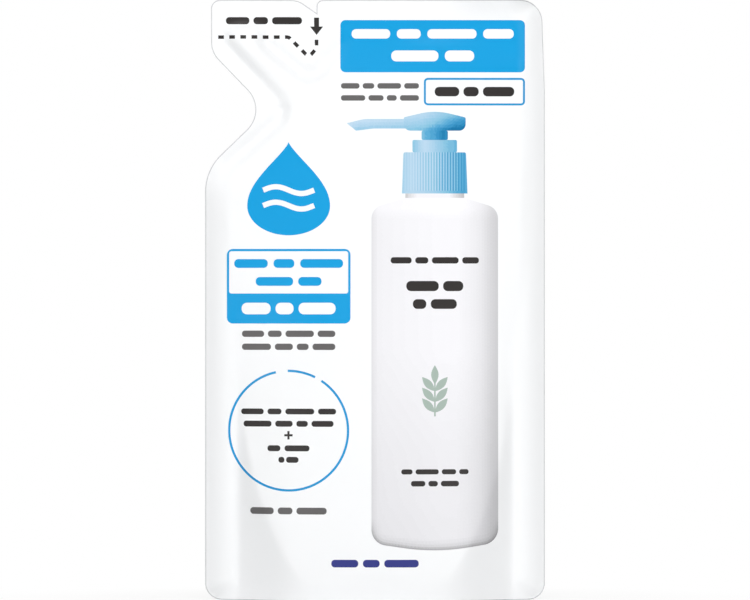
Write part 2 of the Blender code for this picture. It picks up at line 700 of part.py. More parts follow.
# Triangles of one film, in its own plane
def foot_grid():
    """Places and lines of the hem and gusset seam, column by column across the foot."""
    places = []
    lines = []
    for i in range(FOOT_COLUMNS + 1):
        x = -CREASE_X + 2 * CREASE_X * i / FOOT_COLUMNS
        seam = float(gusset_seam(x))
        for row in range(HEM_ROWS + 1):
            places.append((x, seam * row / HEM_ROWS))
    per_column = HEM_ROWS + 1
    for i in range(FOOT_COLUMNS + 1):
        for row in range(per_column):
            here = i * per_column + row
            if row < HEM_ROWS:
                lines.append((here, here + 1))
            if i < FOOT_COLUMNS:
                lines.append((here, here + per_column))
    return places, lines


def lattice(outline, contours):
    """Evenly spread places inside the outline that keep clear of every drawn line and the foot."""
    row_step = MESH_STEP * math.sqrt(3) / 2
    rows = math.ceil(PACK_HEIGHT / row_step)
    columns = math.ceil(PACK_WIDTH / MESH_STEP) + 1
    column, row = np.meshgrid(np.arange(columns), np.arange(rows))
    x = (LEFT_EDGE + MESH_STEP * (column + 0.5 * (row % 2))).ravel()
    z = (row_step * (row + 0.5)).ravel()
    keep = inside(x, z, outline)
    keep &= (np.abs(x) > CREASE_X) | (z > gusset_seam(x) + MESH_STEP / 2)
    for contour in contours + [outline]:
        for i, start in enumerate(contour):
            a = np.array(contour[i - 1])
            along = np.array(start) - a
            t = ((x - a[0]) * along[0] + (z - a[1]) * along[1]) / max(along @ along, 1e-18)
            t = np.clip(t, 0, 1)
            keep &= np.hypot(x - a[0] - t * along[0], z - a[1] - t * along[1]) > MESH_CLEARANCE
    return list(zip(x[keep], z[keep]))


def film_triangles(outline, contours):
    """Triangles (as point numbers) that fill the outline and follow every contour."""
    places = []
    lines = []
    for loop in [outline] + contours:
        first = len(places)
        places += loop
        lines += [(first + i, first + (i + 1) % len(loop)) for i in range(len(loop))]
    foot_places, foot_lines = foot_grid()
    first = len(places)
    places += foot_places
    lines += [(first + a, first + b) for a, b in foot_lines]
    places += lattice(outline, contours)
    flat = [Vector(place) for place in places]
    points, _, faces, origins, _, _ = delaunay_2d_cdt(flat, lines, [], 1, 1e-7, True)
    points = np.array([tuple(point) for point in points])
    faces = np.array(faces)
    made_from = {source: i for i, sources in enumerate(origins) for source in sources}
    rim = [made_from[i] for i in range(len(outline))]
    middle = points[faces].mean(axis=1)
    faces = faces[inside(middle[:, 0], middle[:, 1], points[rim])]
    return points, faces, rim


# The closed solid
def film_mesh(form, fields):
    """Points, faces and material names of the whole pouch."""
    outline = divided(pack_outline(), MESH_STEP)
    spans = [i for i, (x, z) in enumerate(outline) if z == 0 and abs(x) <= CREASE_X]
    first, last = spans[0], spans[-1]
    columns = [(-CREASE_X + 2 * CREASE_X * i / FOOT_COLUMNS, 0.0) for i in range(FOOT_COLUMNS + 1)]
    outline[first:last + 1] = columns
    last = first + FOOT_COLUMNS

    vertices = []
    faces = []
    materials = []
    rims = []
    seam = divided(one_side(seam_outline(), 1, GUSSET_FOLD_HEIGHT + MESH_STEP / 2, 1), MESH_STEP)
    print_lines = [divided(contour, MESH_STEP) for _, contour in fields]
    for side, contours in ((-1, print_lines + [seam]), (1, [seam])):
        points, triangles, rim = film_triangles(outline, contours)
        depth = form.at(points[:, 0], points[:, 1]) + FILM
        base = len(vertices)
        vertices += [(x, side * d, z) for (x, z), d in zip(points, depth)]
        rims.append([base + i for i in rim])
        middle = points[triangles].mean(axis=1)
        names = np.full(len(triangles), "film_white", dtype=object)
        if side < 0:
            for name, contour in fields:
                names[inside(middle[:, 0], middle[:, 1], contour)] = name
        for triangle, name in zip(triangles, names):
            order = triangle if side < 0 else triangle[::-1]
            faces.append([base + int(i) for i in order])
            materials.append(name)

    profiles = []
    for i, (x, _) in enumerate(columns):
        at_end = i in (0, FOOT_COLUMNS)
        profile = foot_profile(x, form, at_end)
        base = len(vertices)
        vertices += [(x, y, z) for y, z in profile]
        profiles.append(list(range(base, base + len(profile))))

    front, back = rims
    for i in range(len(outline)):
        j = (i + 1) % len(outline)
        if first <= i < last:
            column = profiles[i - first]
            following = profiles[i - first + 1]
            faces.append([front[i], column[0], following[0], front[j]])
            faces.append([column[-1], back[i], back[j], following[-1]])
        elif j == first:
            pocket_end = profiles[0][0]
            faces += [[front[i], back[i], pocket_end], [front[i], pocket_end, front[j]],
                      [pocket_end, back[i], back[j]]]
        elif i == last:
            pocket_end = profiles[-1][0]
            faces += [[front[i], pocket_end, front[j]], [pocket_end, back[j], front[j]],
                      [pocket_end, back[i], back[j]]]
        else:
            faces.append([front[i], back[i], back[j], front[j]])
    for column, following in zip(profiles, profiles[1:]):
        for k in range(len(column) - 1):
            faces.append([column[k], column[k + 1], following[k + 1], following[k]])
    materials += ["film_white"] * (len(faces) - len(materials))
    return vertices, faces, materials


def welded(vertices, faces, materials, reach=2e-6):
    """The mesh with points at the same place joined, and faces that shrink to nothing left out."""
    numbers = {}
    kept = []
    new_number = []
    for vertex in vertices:
        key = tuple(round(value / reach) for value in vertex)
        if key not in numbers:
            numbers[key] = len(kept)
            kept.append(vertex)
        new_number.append(numbers[key])
    new_faces = []
    new_materials = []
    for face, material in zip(faces, materials):
        ring = [new_number[i] for i in face]
        ring = [i for k, i in enumerate(ring) if i != ring[k - 1]]
        if len(set(ring)) > 2:
            new_faces.append(ring)
            new_materials.append(material)
    return kept, new_faces, new_materials


def make_material(name, colour):
    """A plain printed or bare film surface."""
    material = bpy.data.materials.new(name)
    material.use_nodes = True
    shader = material.node_tree.nodes["Principled BSDF"]
    shader.inputs["Base Color"].default_value = (*colour, 1)
    shader.inputs["Roughness"].default_value = FILM_ROUGHNESS
    shader.inputs["Metallic"].default_value = 0
    return material


def make_pouch():
    """The refill pouch, as one object with a material for each colour of its print."""
    fields = tear_line_fields() + heading_fields() + column_fields() + bottle_fields()
    fields = [(name, on_film(outline)) for name, outline in fields]
    vertices, faces, names = welded(*film_mesh(BellyForm(), fields))
    mesh = bpy.data.meshes.new("refill_pouch")
    mesh.from_pydata(vertices, [], faces)
    colours = {"film_white": FILM_WHITE, "print_blue": PRINT_BLUE, "print_dark": PRINT_DARK,
               "bottle_grey": BOTTLE_GREY, "bottle_shade": BOTTLE_SHADE, "cap_blue": CAP_BLUE,
               "pump_blue": PUMP_BLUE}
    for name, colour in colours.items():
        mesh.materials.append(make_material(name, colour))
    slots = list(colours)
    for face, name in zip(mesh.polygons, names):
        face.material_index = slots.index(name)
    mesh.shade_smooth()
    mesh.set_sharp_from_angle(angle=math.radians(35))
    pouch = bpy.data.objects.new("refill_pouch", mesh)
    bpy.context.scene.collection.objects.link(pouch)
    return pouch


def main():
    for item in list(bpy.data.objects):
        bpy.data.objects.remove(item, do_unlink=True)
    make_pouch()


main()
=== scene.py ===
"""Looks of the hand soap refill pouch: the printed film in fine detail, the light and the camera.

The film is made again here with the outline, the sizes and the print of the construction, a finer mesh
and the softer relief of filled film. Metres, +Z up, the printed front faces -Y.
"""

import math

import bpy
import numpy as np
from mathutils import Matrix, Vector
from mathutils.geometry import delaunay_2d_cdt


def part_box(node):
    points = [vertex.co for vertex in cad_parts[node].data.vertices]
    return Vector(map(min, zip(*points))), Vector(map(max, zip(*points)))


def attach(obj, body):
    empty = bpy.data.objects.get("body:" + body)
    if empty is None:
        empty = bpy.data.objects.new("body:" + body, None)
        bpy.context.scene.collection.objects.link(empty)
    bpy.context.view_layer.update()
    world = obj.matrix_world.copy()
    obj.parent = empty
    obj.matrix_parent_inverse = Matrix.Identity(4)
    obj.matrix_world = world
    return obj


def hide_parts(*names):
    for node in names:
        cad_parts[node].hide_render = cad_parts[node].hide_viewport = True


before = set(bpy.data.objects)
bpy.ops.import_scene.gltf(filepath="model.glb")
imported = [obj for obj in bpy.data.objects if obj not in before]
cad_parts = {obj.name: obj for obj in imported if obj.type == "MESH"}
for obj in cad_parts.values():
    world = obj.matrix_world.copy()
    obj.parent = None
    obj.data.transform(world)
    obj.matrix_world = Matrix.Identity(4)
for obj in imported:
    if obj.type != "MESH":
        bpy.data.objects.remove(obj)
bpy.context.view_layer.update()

# Film and overall size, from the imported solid
NODE = "refill_pouch"
LOWEST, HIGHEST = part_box(NODE)
PACK_WIDTH = HIGHEST[0] - LOWEST[0]
PACK_HEIGHT = HIGHEST[2] - LOWEST[2]
FILM = 0.00018

# Outline of the welded film, with the spout tab at the top left
CORNER_RADIUS = 0.007
TAB_INSET = 0.002
TAB_CORNER_RADIUS = 0.0028
TAB_SIDE = 0.017
TAB_TURN_RADIUS = 0.008
WAIST_INSET = 0.020
WAIST_DROP = 0.0357
WAIST_RADIUS = 0.009
SHOULDER_DROP = 0.055
SHOULDER_RADIUS = 0.0165
TAPER = 0.001
TAPER_LENGTH = 0.029

# Tear notch in the top edge, beside the spout tab
NOTCH_FROM_LEFT = 0.0361
NOTCH_DEPTH = 0.0042
NOTCH_FLANK = 0.0061
NOTCH_FLANK_RADIUS = 0.0068
NOTCH_ARC_RADIUS = 0.0039

# Welded seams, and the pocket that holds the soap inside them
SIDE_SEAM = 0.006
TOP_SEAM = 0.012
SEAM_CORNER_RADIUS = 0.012
SPOUT_LEFT_SEAM = 0.0045
SPOUT_WIDTH = 0.0125
SPOUT_TIP_DROP = 0.008
SPOUT_MOUTH_DROP = 0.0135
SPOUT_TIP_RADIUS = 0.0035
NECK_SEAM_INSET = 0.0274
NECK_SEAM_RADIUS = 0.006
SHOULDER_SEAM_RADIUS = 0.013
LOBE_FROM_LEFT = 0.0345
LOBE_DROP = 0.0265
LOBE_RADIUS = 0.005
LOBE_END_FROM_LEFT = 0.046

# Flat fins beside the filled belly
FIN_WIDTH = 0.0048
FIN_HEIGHT = 0.080
FIN_FADE = 0.035

# Belly, pushed out by the soap and a little air
BELLY_DEPTH = 0.0290
BELLY_POWER = 2.6
AIR_DEPTH = 0.0024
SPOUT_PUSH = 150.0
SPOUT_PUSH_REACH = 0.018

# Foot: the hem that the pouch stands on, and the gusset film folded up between its sides
HEM_HEIGHT = 0.005
FOOT_DEPTH = 0.0360
FOOT_FLARE = 0.85
FOOT_FLARE_RISE = 9.0
FOOT_LEAN = 0.14
FOOT_BOW_WIDTH = 0.150
FOOT_ARC_DROP = 0.006
GUSSET_FOLD_HEIGHT = 0.033
GUSSET_SEAM_POWER = 3.5
GUSSET_FLAT_SHARE = 0.6

# Stage, lamps and camera
FLOOR_SIZE = 12.0
FLOOR_COLOUR = (0.84, 0.84, 0.84)
FLOOR_ROUGHNESS = 0.9
FLOOR_WHITE = 0.75
FLOOR_FADE = (0.04, 0.16)
WORLD_LIGHT = 0.30
LAMPS = (("top", (0.0, -1.7, 1.35), 18.0), ("left", (-1.4, -1.7, 0.45), 9.4),
         ("right", (1.4, -1.7, 0.45), 9.4), ("back", (0.6, 1.8, 1.2), 24.0))
LAMP_SIZE = 0.9
CAMERA_DISTANCE = 3.0
CAMERA_RANGE = 30.0
IMAGE_SHAPE = 750 / 600

# Surface of the laminate
ROUGHNESS = (0.33, 0.43)
FILM_IOR = 1.5
FILM_SPECULAR = 0.2
GLOSS_SCALE = 70.0
RIPPLE_SCALE = 160.0
RIPPLE_HEIGHT = 0.00004
GRAIN_SCALE = 1400.0
GRAIN_HEIGHT = 0.000012

# Soft relief that only the fine film has
EDGE_CURL = 0.0052
CURL_REACH = 0.0090
CURL_POWER = 1.7
TOP_LEAN = 0.0027
TOP_LEAN_POWER = 1.5
TOP_LEAN_HEIGHT = 0.0070
TOP_LEAN_START = (0.016, 0.036)
# Width of the grey line painted along the cut edge: painted shade where the film's edge turns away
EDGE_SHADE_WIDTH = 0.00035
CREASE_ROUNDING = 0.0008
ROLL_HEIGHT = 0.0009
ROLL_WIDTH = 0.0030
ROLL_FROM_LEFT = (0.034, 0.050)
ROLL_DROP = (0.046, 0.060)
UPPER_GROOVE = 0.0018
LOWER_GROOVE = 0.0009
GROOVE_WIDTH = 0.0023
GROOVE_TIP = (0.009, 0.016)
NECK_REACH = 0.030
PUCKER_HEIGHT = 0.00006
PUCKER_PITCH = 0.0085
PUCKER_REACH = 0.009
PUCKER_SLANT = 60.0
PUCKER_SWAY = 1.8
DENT_HEIGHT = 0.00022
DENT_PITCH = 0.047
DENT_SLANT = 0.6
DENT_CROSS_SLANT = (0.7, 0.4)
DENT_CROSS_PHASE = 1.3

# How finely the film is divided
MESH_STEP = 0.0011
MESH_CLEARANCE = 0.00046
ARC_STEP = 0.0006
DROP_BELLY_SIDES = 48
DROP_FLANK_SIDES = 32
WAVE_SIDES = 32
LEAF_SIDES = 8
HEM_ROWS = 8
GUSSET_ROWS = 14
FOOT_COLUMNS = 86
GRID_STEP = 0.0005
GRID_MARGIN = 4
COARSE_SWEEPS = 500
FINE_SWEEPS = 160
SIDE_SHARE = 0.49
MITRE_LIMIT = 0.5
BOX_ARC_PIECES = 3
SHARP_ANGLE = 35
WELD_REACH = 2e-6
TINY = 1e-6

LEFT_EDGE = -PACK_WIDTH / 2
RIGHT_EDGE = PACK_WIDTH / 2
CREASE_X = RIGHT_EDGE - SIDE_SEAM - FIN_WIDTH


# Flat outlines, as points (x, z) in the plane of the film
def arc(centre, radius, start, end, step=ARC_STEP):
    """Points on an arc between two angles in radians, both ends included."""
    pieces = max(2, math.ceil(abs(end - start) * radius / step))
    angles = [start + (end - start) * i / pieces for i in range(pieces + 1)]
    return [(centre[0] + radius * math.cos(a), centre[1] + radius * math.sin(a)) for a in angles]


def rounded(corners, step=ARC_STEP):
    """Closed outline through corners (x, z, radius), each rounded by an arc that fits its sides."""
    points = []
    for i, (x, z, radius) in enumerate(corners):
        here = Vector((x, z))
        before = Vector(corners[i - 1][:2]) - here
        after = Vector(corners[(i + 1) % len(corners)][:2]) - here
        half_angle = before.angle(after) / 2
        if radius == 0 or math.cos(half_angle) < 100 * TINY:
            points.append((x, z))
            continue
        setback = min(radius / math.tan(half_angle), SIDE_SHARE * min(before.length, after.length))
        radius = setback * math.tan(half_angle)
        start = before.normalized() * setback
        end = after.normalized() * setback
        centre = (start + end).normalized() * math.hypot(radius, setback)
        first = math.atan2(start.y - centre.y, start.x - centre.x)
        last = math.atan2(end.y - centre.y, end.x - centre.x)
        sweep = (last - first + math.pi) % (2 * math.pi) - math.pi
        points += arc((x + centre.x, z + centre.y), radius, first, first + sweep, step)
    return points


def box_outline(left, bottom, width, height, radius):
    """Closed outline of a rectangle with round corners."""
    right = left + width
    top = bottom + height
    return rounded([(left, bottom, radius), (right, bottom, radius),
                    (right, top, radius), (left, top, radius)], radius / BOX_ARC_PIECES)


def divided(outline, step):
    """The closed outline with its long sides divided, so that no side is longer than the step."""
    points = []
    for i, start in enumerate(outline):
        end = outline[(i + 1) % len(outline)]
        pieces = max(1, math.ceil(math.dist(start, end) / step - TINY))
        for k in range(pieces):
            t = k / pieces
            points.append((start[0] + (end[0] - start[0]) * t, start[1] + (end[1] - start[1]) * t))
    return points


def inset(outline, distance):
    """The closed outline, drawn anticlockwise, moved inwards by a distance."""
    points = []
    for i, here in enumerate(outline):
        before = (Vector(here) - Vector(outline[i - 1])).normalized()
        after = (Vector(outline[(i + 1) % len(outline)]) - Vector(here)).normalized()
        along = (before + after).normalized()
        reach = distance / max(along.dot(after), MITRE_LIMIT)
        points.append((here[0] - along.y * reach, here[1] + along.x * reach))
    return points


def inside(x, z, outline):
    """True where a point lies inside the closed outline."""
    found = np.zeros(np.shape(x), dtype=bool)
    for i, (xa, za) in enumerate(outline):
        xb, zb = outline[i - 1]
        if za == zb:
            continue
        crossing = (za > z) != (zb > z)
        found ^= crossing & (x < (xb - xa) * (z - za) / (zb - za) + xa)
    return found


def one_side(outline, axis, limit, sign):
    """The part of a closed outline above (sign 1) or below (sign -1) a limit in x (0) or z (1)."""
    points = []
    for i, here in enumerate(outline):
        before = outline[i - 1]
        if (sign * before[axis] > sign * limit) != (sign * here[axis] > sign * limit):
            t = (limit - before[axis]) / (here[axis] - before[axis])
            points.append(tuple(b + (h - b) * t for b, h in zip(before, here)))
        if sign * here[axis] > sign * limit:
            points.append(here)
    return points


def pack_outline():
    """The cut edge of the film, anticlockwise seen from the front."""
    tab_edge = LEFT_EDGE + TAB_INSET
    notch_x = LEFT_EDGE + NOTCH_FROM_LEFT
    notch_z = PACK_HEIGHT - NOTCH_DEPTH
    corners = [
        (LEFT_EDGE, 0, CORNER_RADIUS),
        (-CREASE_X, 0, 0),
        (CREASE_X, 0, 0),
        (RIGHT_EDGE, 0, CORNER_RADIUS),
        (RIGHT_EDGE, PACK_HEIGHT - TAPER_LENGTH, 0),
        (RIGHT_EDGE - TAPER, PACK_HEIGHT, CORNER_RADIUS),
        (notch_x, PACK_HEIGHT, NOTCH_ARC_RADIUS),
        (notch_x, notch_z, 0),
        (notch_x - NOTCH_FLANK, PACK_HEIGHT, NOTCH_FLANK_RADIUS),
        (tab_edge, PACK_HEIGHT, TAB_CORNER_RADIUS),
        (tab_edge, PACK_HEIGHT - TAB_SIDE, TAB_TURN_RADIUS),
        (LEFT_EDGE + WAIST_INSET, PACK_HEIGHT - WAIST_DROP, WAIST_RADIUS),
        (LEFT_EDGE, PACK_HEIGHT - SHOULDER_DROP, SHOULDER_RADIUS),
    ]
    return rounded(corners)


def seam_outline():
    """The inner edge of the welds, where the films part and the soap begins."""
    seam_left = LEFT_EDGE + SIDE_SEAM
    seam_right = RIGHT_EDGE - SIDE_SEAM
    seam_top = PACK_HEIGHT - TOP_SEAM
    fade_z = FIN_HEIGHT + FIN_FADE
    spout_left = LEFT_EDGE + TAB_INSET + SPOUT_LEFT_SEAM
    spout_right = spout_left + SPOUT_WIDTH
    spout_top = PACK_HEIGHT - SPOUT_TIP_DROP
    mouth_z = PACK_HEIGHT - SPOUT_MOUTH_DROP
    lobe_x = LEFT_EDGE + LOBE_FROM_LEFT
    lobe_z = PACK_HEIGHT - LOBE_DROP
    corners = [
        (-CREASE_X, -SIDE_SEAM, 0),
        (CREASE_X, -SIDE_SEAM, 0),
        (CREASE_X, FIN_HEIGHT, FIN_HEIGHT),
        (seam_right, fade_z, FIN_HEIGHT),
        (seam_right, seam_top, SEAM_CORNER_RADIUS),
        (LEFT_EDGE + LOBE_END_FROM_LEFT, seam_top, LOBE_RADIUS),
        (lobe_x, lobe_z, LOBE_RADIUS),
        (spout_right, mouth_z, LOBE_RADIUS),
        (spout_right, spout_top, SPOUT_TIP_RADIUS),
        (spout_left, spout_top, SPOUT_TIP_RADIUS),
        (spout_left, mouth_z, LOBE_RADIUS),
        (LEFT_EDGE + NECK_SEAM_INSET, PACK_HEIGHT - WAIST_DROP, NECK_SEAM_RADIUS),
        (seam_left, PACK_HEIGHT - SHOULDER_DROP, SHOULDER_SEAM_RADIUS),
        (seam_left, fade_z, FIN_HEIGHT),
        (-CREASE_X, FIN_HEIGHT, FIN_HEIGHT),
    ]
    return rounded(corners)


# The form of the filled film, as the half depth of the pouch at a place (x, z)
def eased(value, start, end):
    """Rises smoothly from 0 to 1 as the value goes from start to end."""
    t = np.clip((value - start) / (end - start), 0, 1)
    return t * t * (3 - 2 * t)


def soft_min(a, b, sharpness=6):
    """The smaller of two lengths, with the change from one to the other rounded off."""
    return a * b / (a ** sharpness + b ** sharpness) ** (1 / sharpness)


def fin_depth(z):
    """Half depth at the flat fins: the folded gusset lies between the films in the foot."""
    return FILM * (1 - eased(z, GUSSET_FOLD_HEIGHT, GUSSET_FOLD_HEIGHT + HEM_HEIGHT))


def foot_depth(x, z):
    """Half depth of the foot: a flat ramp in from each fin, and a bowed front between them."""
    ramp = (FOOT_FLARE + FOOT_FLARE_RISE * z) * np.maximum(CREASE_X - np.abs(x), TINY)
    bow = np.sqrt(np.maximum(1 - (2 * x / FOOT_BOW_WIDTH) ** 2, TINY))
    front = FOOT_DEPTH / 2 * bow + FOOT_LEAN * z
    return soft_min(ramp, front)


def foot_line(x):
    """Height of the line where the foot ends and the belly begins, an arc that rises to the fins."""
    across = np.clip(np.abs(x) / CREASE_X, 0, 1)
    arc_height = FIN_HEIGHT - (FIN_HEIGHT + FOOT_ARC_DROP) * np.sqrt(1 - across ** 2)
    return np.maximum(arc_height, HEM_HEIGHT)


def from_piece(x, z, start, end):
    """Distance from each place to a straight piece of a line."""
    dx = end[0] - start[0]
    dz = end[1] - start[1]
    along = ((x - start[0]) * dx + (z - start[1]) * dz) / max(dx * dx + dz * dz, TINY ** 3)
    along = np.clip(along, 0, 1)
    return np.hypot(x - start[0] - along * dx, z - start[1] - along * dz)


def from_outline(x, z, outline, belongs, limit):
    """Distance from each place to the pieces of a closed outline that belong, no more than a limit."""
    nearest = np.full(np.shape(x), limit)
    for i, end in enumerate(outline):
        start = outline[i - 1]
        if belongs(start, end):
            nearest = np.minimum(nearest, from_piece(x, z, start, end))
    return nearest


def is_side(start, end):
    """True on the cut edge up the sides, as far as the left shoulder and the top right corner."""
    at_shoulder = start[0] < 0 and start[1] > CORNER_RADIUS
    limit = CREASE_X if at_shoulder else RIGHT_EDGE - CORNER_RADIUS / 2
    below_waist = max(start[1], end[1]) < PACK_HEIGHT - WAIST_DROP
    return min(abs(start[0]), abs(end[0])) > limit and (start[0] > 0 or below_waist)


def is_neck_weld(start, end):
    """True on the welds of the spout and the neck."""
    return max(start[0], end[0]) < LEFT_EDGE + ROLL_FROM_LEFT[1] and end[1] > PACK_HEIGHT - ROLL_DROP[1]


def is_upper_weld(start, end):
    """True on the welds of the spout and the neck that face up."""
    return end[0] < start[0] and is_neck_weld(start, end)


def is_lower_weld(start, end):
    """True on the welds of the spout and the neck that face down."""
    return start[0] <= end[0] and is_neck_weld(start, end)


def edge_curl(x, z):
    """How far the film bends back along its two sides, and forward along the top right edge."""
    nearest = from_outline(x, z, pack_outline(), is_side, CURL_REACH)
    side = EDGE_CURL * (1 - nearest / CURL_REACH) ** CURL_POWER
    from_shoulder = PACK_HEIGHT - SHOULDER_DROP - z
    side *= np.where(x < 0, eased(from_shoulder, -CURL_REACH, SHOULDER_RADIUS), 1)
    up = np.maximum((z - PACK_HEIGHT) / TOP_LEAN_HEIGHT + 1, 0)
    return side - TOP_LEAN * up ** TOP_LEAN_POWER * eased(x, *TOP_LEAN_START)


def neck_relief(x, z):
    """The soft roll and the groove along the welds of the spout and the neck.

    Gives how much further the film stands out, and how far both films are pressed back.
    """
    upper = from_outline(x, z, seam_outline(), is_upper_weld, NECK_REACH)
    lower = from_outline(x, z, seam_outline(), is_lower_weld, NECK_REACH)
    away = np.minimum(upper, lower)
    near = (1 - eased(x - LEFT_EDGE, *ROLL_FROM_LEFT)) * (1 - eased(PACK_HEIGHT - z, *ROLL_DROP))
    roll = ROLL_HEIGHT * away / ROLL_WIDTH * np.exp(1 - away / ROLL_WIDTH) * near
    groove = np.maximum(UPPER_GROOVE * np.exp(-(upper / GROOVE_WIDTH) ** 2),
                        LOWER_GROOVE * np.exp(-(lower / GROOVE_WIDTH) ** 2))
    return roll, groove * near * eased(PACK_HEIGHT - z, *GROOVE_TIP)


def relief(x, z):
    """Faint unevenness of the filled film: broad dents, and puckers that run in from the side welds."""
    turn = 2 * math.pi / DENT_PITCH
    cross_z, cross_x = DENT_CROSS_SLANT
    dents = (np.sin(turn * (x + DENT_SLANT * z))
             * np.sin(turn * (cross_z * z - cross_x * x) + DENT_CROSS_PHASE))
    from_weld = np.maximum(RIGHT_EDGE - SIDE_SEAM - np.abs(x), 0)
    phase = 2 * math.pi * z / PUCKER_PITCH + PUCKER_SWAY * np.sin(turn * z + np.sign(x))
    puckers = np.sin(phase + PUCKER_SLANT * from_weld) * np.exp(-from_weld / PUCKER_REACH)
    return DENT_HEIGHT * dents + PUCKER_HEIGHT * puckers


class BellyForm:
    """Half depth of the film over a grid, held at the welds and pushed out by what it holds."""

    def __init__(self, step=GRID_STEP):
        coarse = self.solved(2 * step, None, COARSE_SWEEPS)
        *self.grid, depth = self.solved(step, coarse, FINE_SWEEPS)
        rows, columns = np.indices(depth.shape)
        x = self.grid[0] + step * columns
        z = self.grid[1] + step * rows
        free = self.free_of(x, z).astype(float)
        depth = depth + relief(x, z) * eased(self.blurred(free, PUCKER_REACH / 4 / step), 0.5, 1)
        roll, groove = neck_relief(x, z)
        depth = depth + roll * free
        self.depth = self.blurred(depth, CREASE_ROUNDING / step)
        curl = edge_curl(x, z) + groove
        self.sides = {side: side * (self.depth + FILM) + curl for side in (-1, 1)}
        self.slopes = {side: np.gradient(values, step) for side, values in self.sides.items()}

    def free_of(self, x, z):
        """True where the film hangs free of the welds and the foot."""
        return inside(x, z, seam_outline()) & (z > foot_line(x))

    def solved(self, step, start, sweeps):
        """The settled depth on a grid of one step, started from a coarser one."""
        x0 = LEFT_EDGE - GRID_MARGIN * step
        z0 = -GRID_MARGIN * step
        across = math.ceil(PACK_WIDTH / step) + 2 * GRID_MARGIN + 1
        up = math.ceil(PACK_HEIGHT / step) + 2 * GRID_MARGIN + 1
        x, z = np.meshgrid(x0 + step * np.arange(across), z0 + step * np.arange(up))
        above_floor = np.maximum(z, 0)
        free = self.free_of(x, z)
        fixed = fin_depth(above_floor)
        foot = (np.abs(x) < CREASE_X) & (z <= foot_line(x))
        fixed = np.where(foot, fixed + foot_depth(x, above_floor), fixed)
        guess = 0.5 * BELLY_DEPTH if start is None else self.read(start, x, z)
        depth = self.relaxed(np.where(free, guess, fixed), free, self.push(x, z), step, sweeps)
        return x0, z0, step, depth

    def push(self, x, z):
        """Outward push at a place: the soap's and the air's, and more in the narrow spout."""
        half_width = RIGHT_EDGE - SIDE_SEAM
        level = np.clip(1 - z / (PACK_HEIGHT - TOP_SEAM), 0, 1)
        body = 2 * (BELLY_DEPTH * level ** BELLY_POWER + AIR_DEPTH) / half_width ** 2
        spout_x = LEFT_EDGE + TAB_INSET + SPOUT_LEFT_SEAM + SPOUT_WIDTH / 2
        spout_z = PACK_HEIGHT - SPOUT_MOUTH_DROP
        away = np.hypot(x - spout_x, z - spout_z) / SPOUT_PUSH_REACH
        return body + SPOUT_PUSH * np.exp(-away ** 2)

    def relaxed(self, depth, free, push, step, sweeps):
        """The depth after the free points have settled between their neighbours."""
        odd = np.indices(depth.shape).sum(axis=0) % 2 == 1
        factor = 2 / (1 + math.sin(math.pi / min(depth.shape)))
        shares = [np.where(free & odd, factor, 0.0), np.where(free & ~odd, factor, 0.0)]
        pushed = push * step ** 2
        settled = np.zeros_like(depth)
        for _ in range(sweeps):
            for share in shares:
                settled[1:-1, 1:-1] = (depth[:-2, 1:-1] + depth[2:, 1:-1]
                                       + depth[1:-1, :-2] + depth[1:-1, 2:])
                depth = depth + share * ((settled + pushed) / 4 - depth)
        return depth

    def blurred(self, values, reach):
        """The values smoothed with a bell curve that is so many grid steps wide."""
        places = np.arange(-math.ceil(3 * reach), math.ceil(3 * reach) + 1)
        weights = np.exp(-0.5 * (places / reach) ** 2)
        weights /= weights.sum()
        pad = len(places) // 2
        for axis in (0, 1):
            widths = [(pad, pad) if axis == k else (0, 0) for k in (0, 1)]
            padded = np.pad(values, widths, mode="edge")
            length = values.shape[axis]
            values = sum(w * np.take(padded, range(k, k + length), axis=axis)
                         for k, w in enumerate(weights))
        return values

    def read(self, grid, x, z):
        """Values of a grid (x0, z0, step, values) at any place, by straight interpolation."""
        x0, z0, step, values = grid
        column = np.clip((np.asarray(x) - x0) / step, 0, values.shape[1] - 1.001)
        row = np.clip((np.asarray(z) - z0) / step, 0, values.shape[0] - 1.001)
        i = column.astype(int)
        j = row.astype(int)
        u = column - i
        v = row - j
        low = values[j, i] * (1 - u) + values[j, i + 1] * u
        high = values[j + 1, i] * (1 - u) + values[j + 1, i + 1] * u
        return low * (1 - v) + high * v

    def at(self, x, z):
        """Half depth at any place."""
        return self.read((*self.grid, self.depth), x, z)

    def film(self, side, x, z):
        """Place across the pouch of the front (-1) or back (1) film."""
        return self.read((*self.grid, self.sides[side]), x, z)

    def normals(self, side, x, z):
        """Outward directions of the front (-1) or back (1) film."""
        slope_z, slope_x = [self.read((*self.grid, slope), x, z) for slope in self.slopes[side]]
        normal = np.stack([-side * slope_x, np.full(np.shape(x), float(side)), -side * slope_z], axis=1)
        return normal / np.linalg.norm(normal, axis=1, keepdims=True)


def gusset_seam(x):
    """Height on the front and back film where the gusset film parts from them."""
    across = np.clip(np.abs(x) / CREASE_X, 0, 1)
    return HEM_HEIGHT + (GUSSET_FOLD_HEIGHT - HEM_HEIGHT) * across ** GUSSET_SEAM_POWER


def gusset_section(x, form):
    """Gusset film across the pouch at one place: half gap, seam height, flat half width, lowest height.

    The film from the seam to the fold keeps its length, so where it is long enough it lies flat
    on the floor, and nearer the fins it hangs between its seams.
    """
    seam = float(gusset_seam(x))
    half_gap = max(float(form.at(x, seam)) - FILM, 0)
    film_length = GUSSET_FOLD_HEIGHT - seam
    if film_length > math.hypot(half_gap, seam):
        spare = film_length ** 2 - half_gap ** 2 - seam ** 2
        flat = min(spare / (2 * (film_length - half_gap)), GUSSET_FLAT_SHARE * half_gap)
        return half_gap, seam, flat, 0.0
    hang = math.sqrt(max(film_length ** 2 - half_gap ** 2, 0))
    return half_gap, seam, 0.0, max(seam - hang, 0.0)


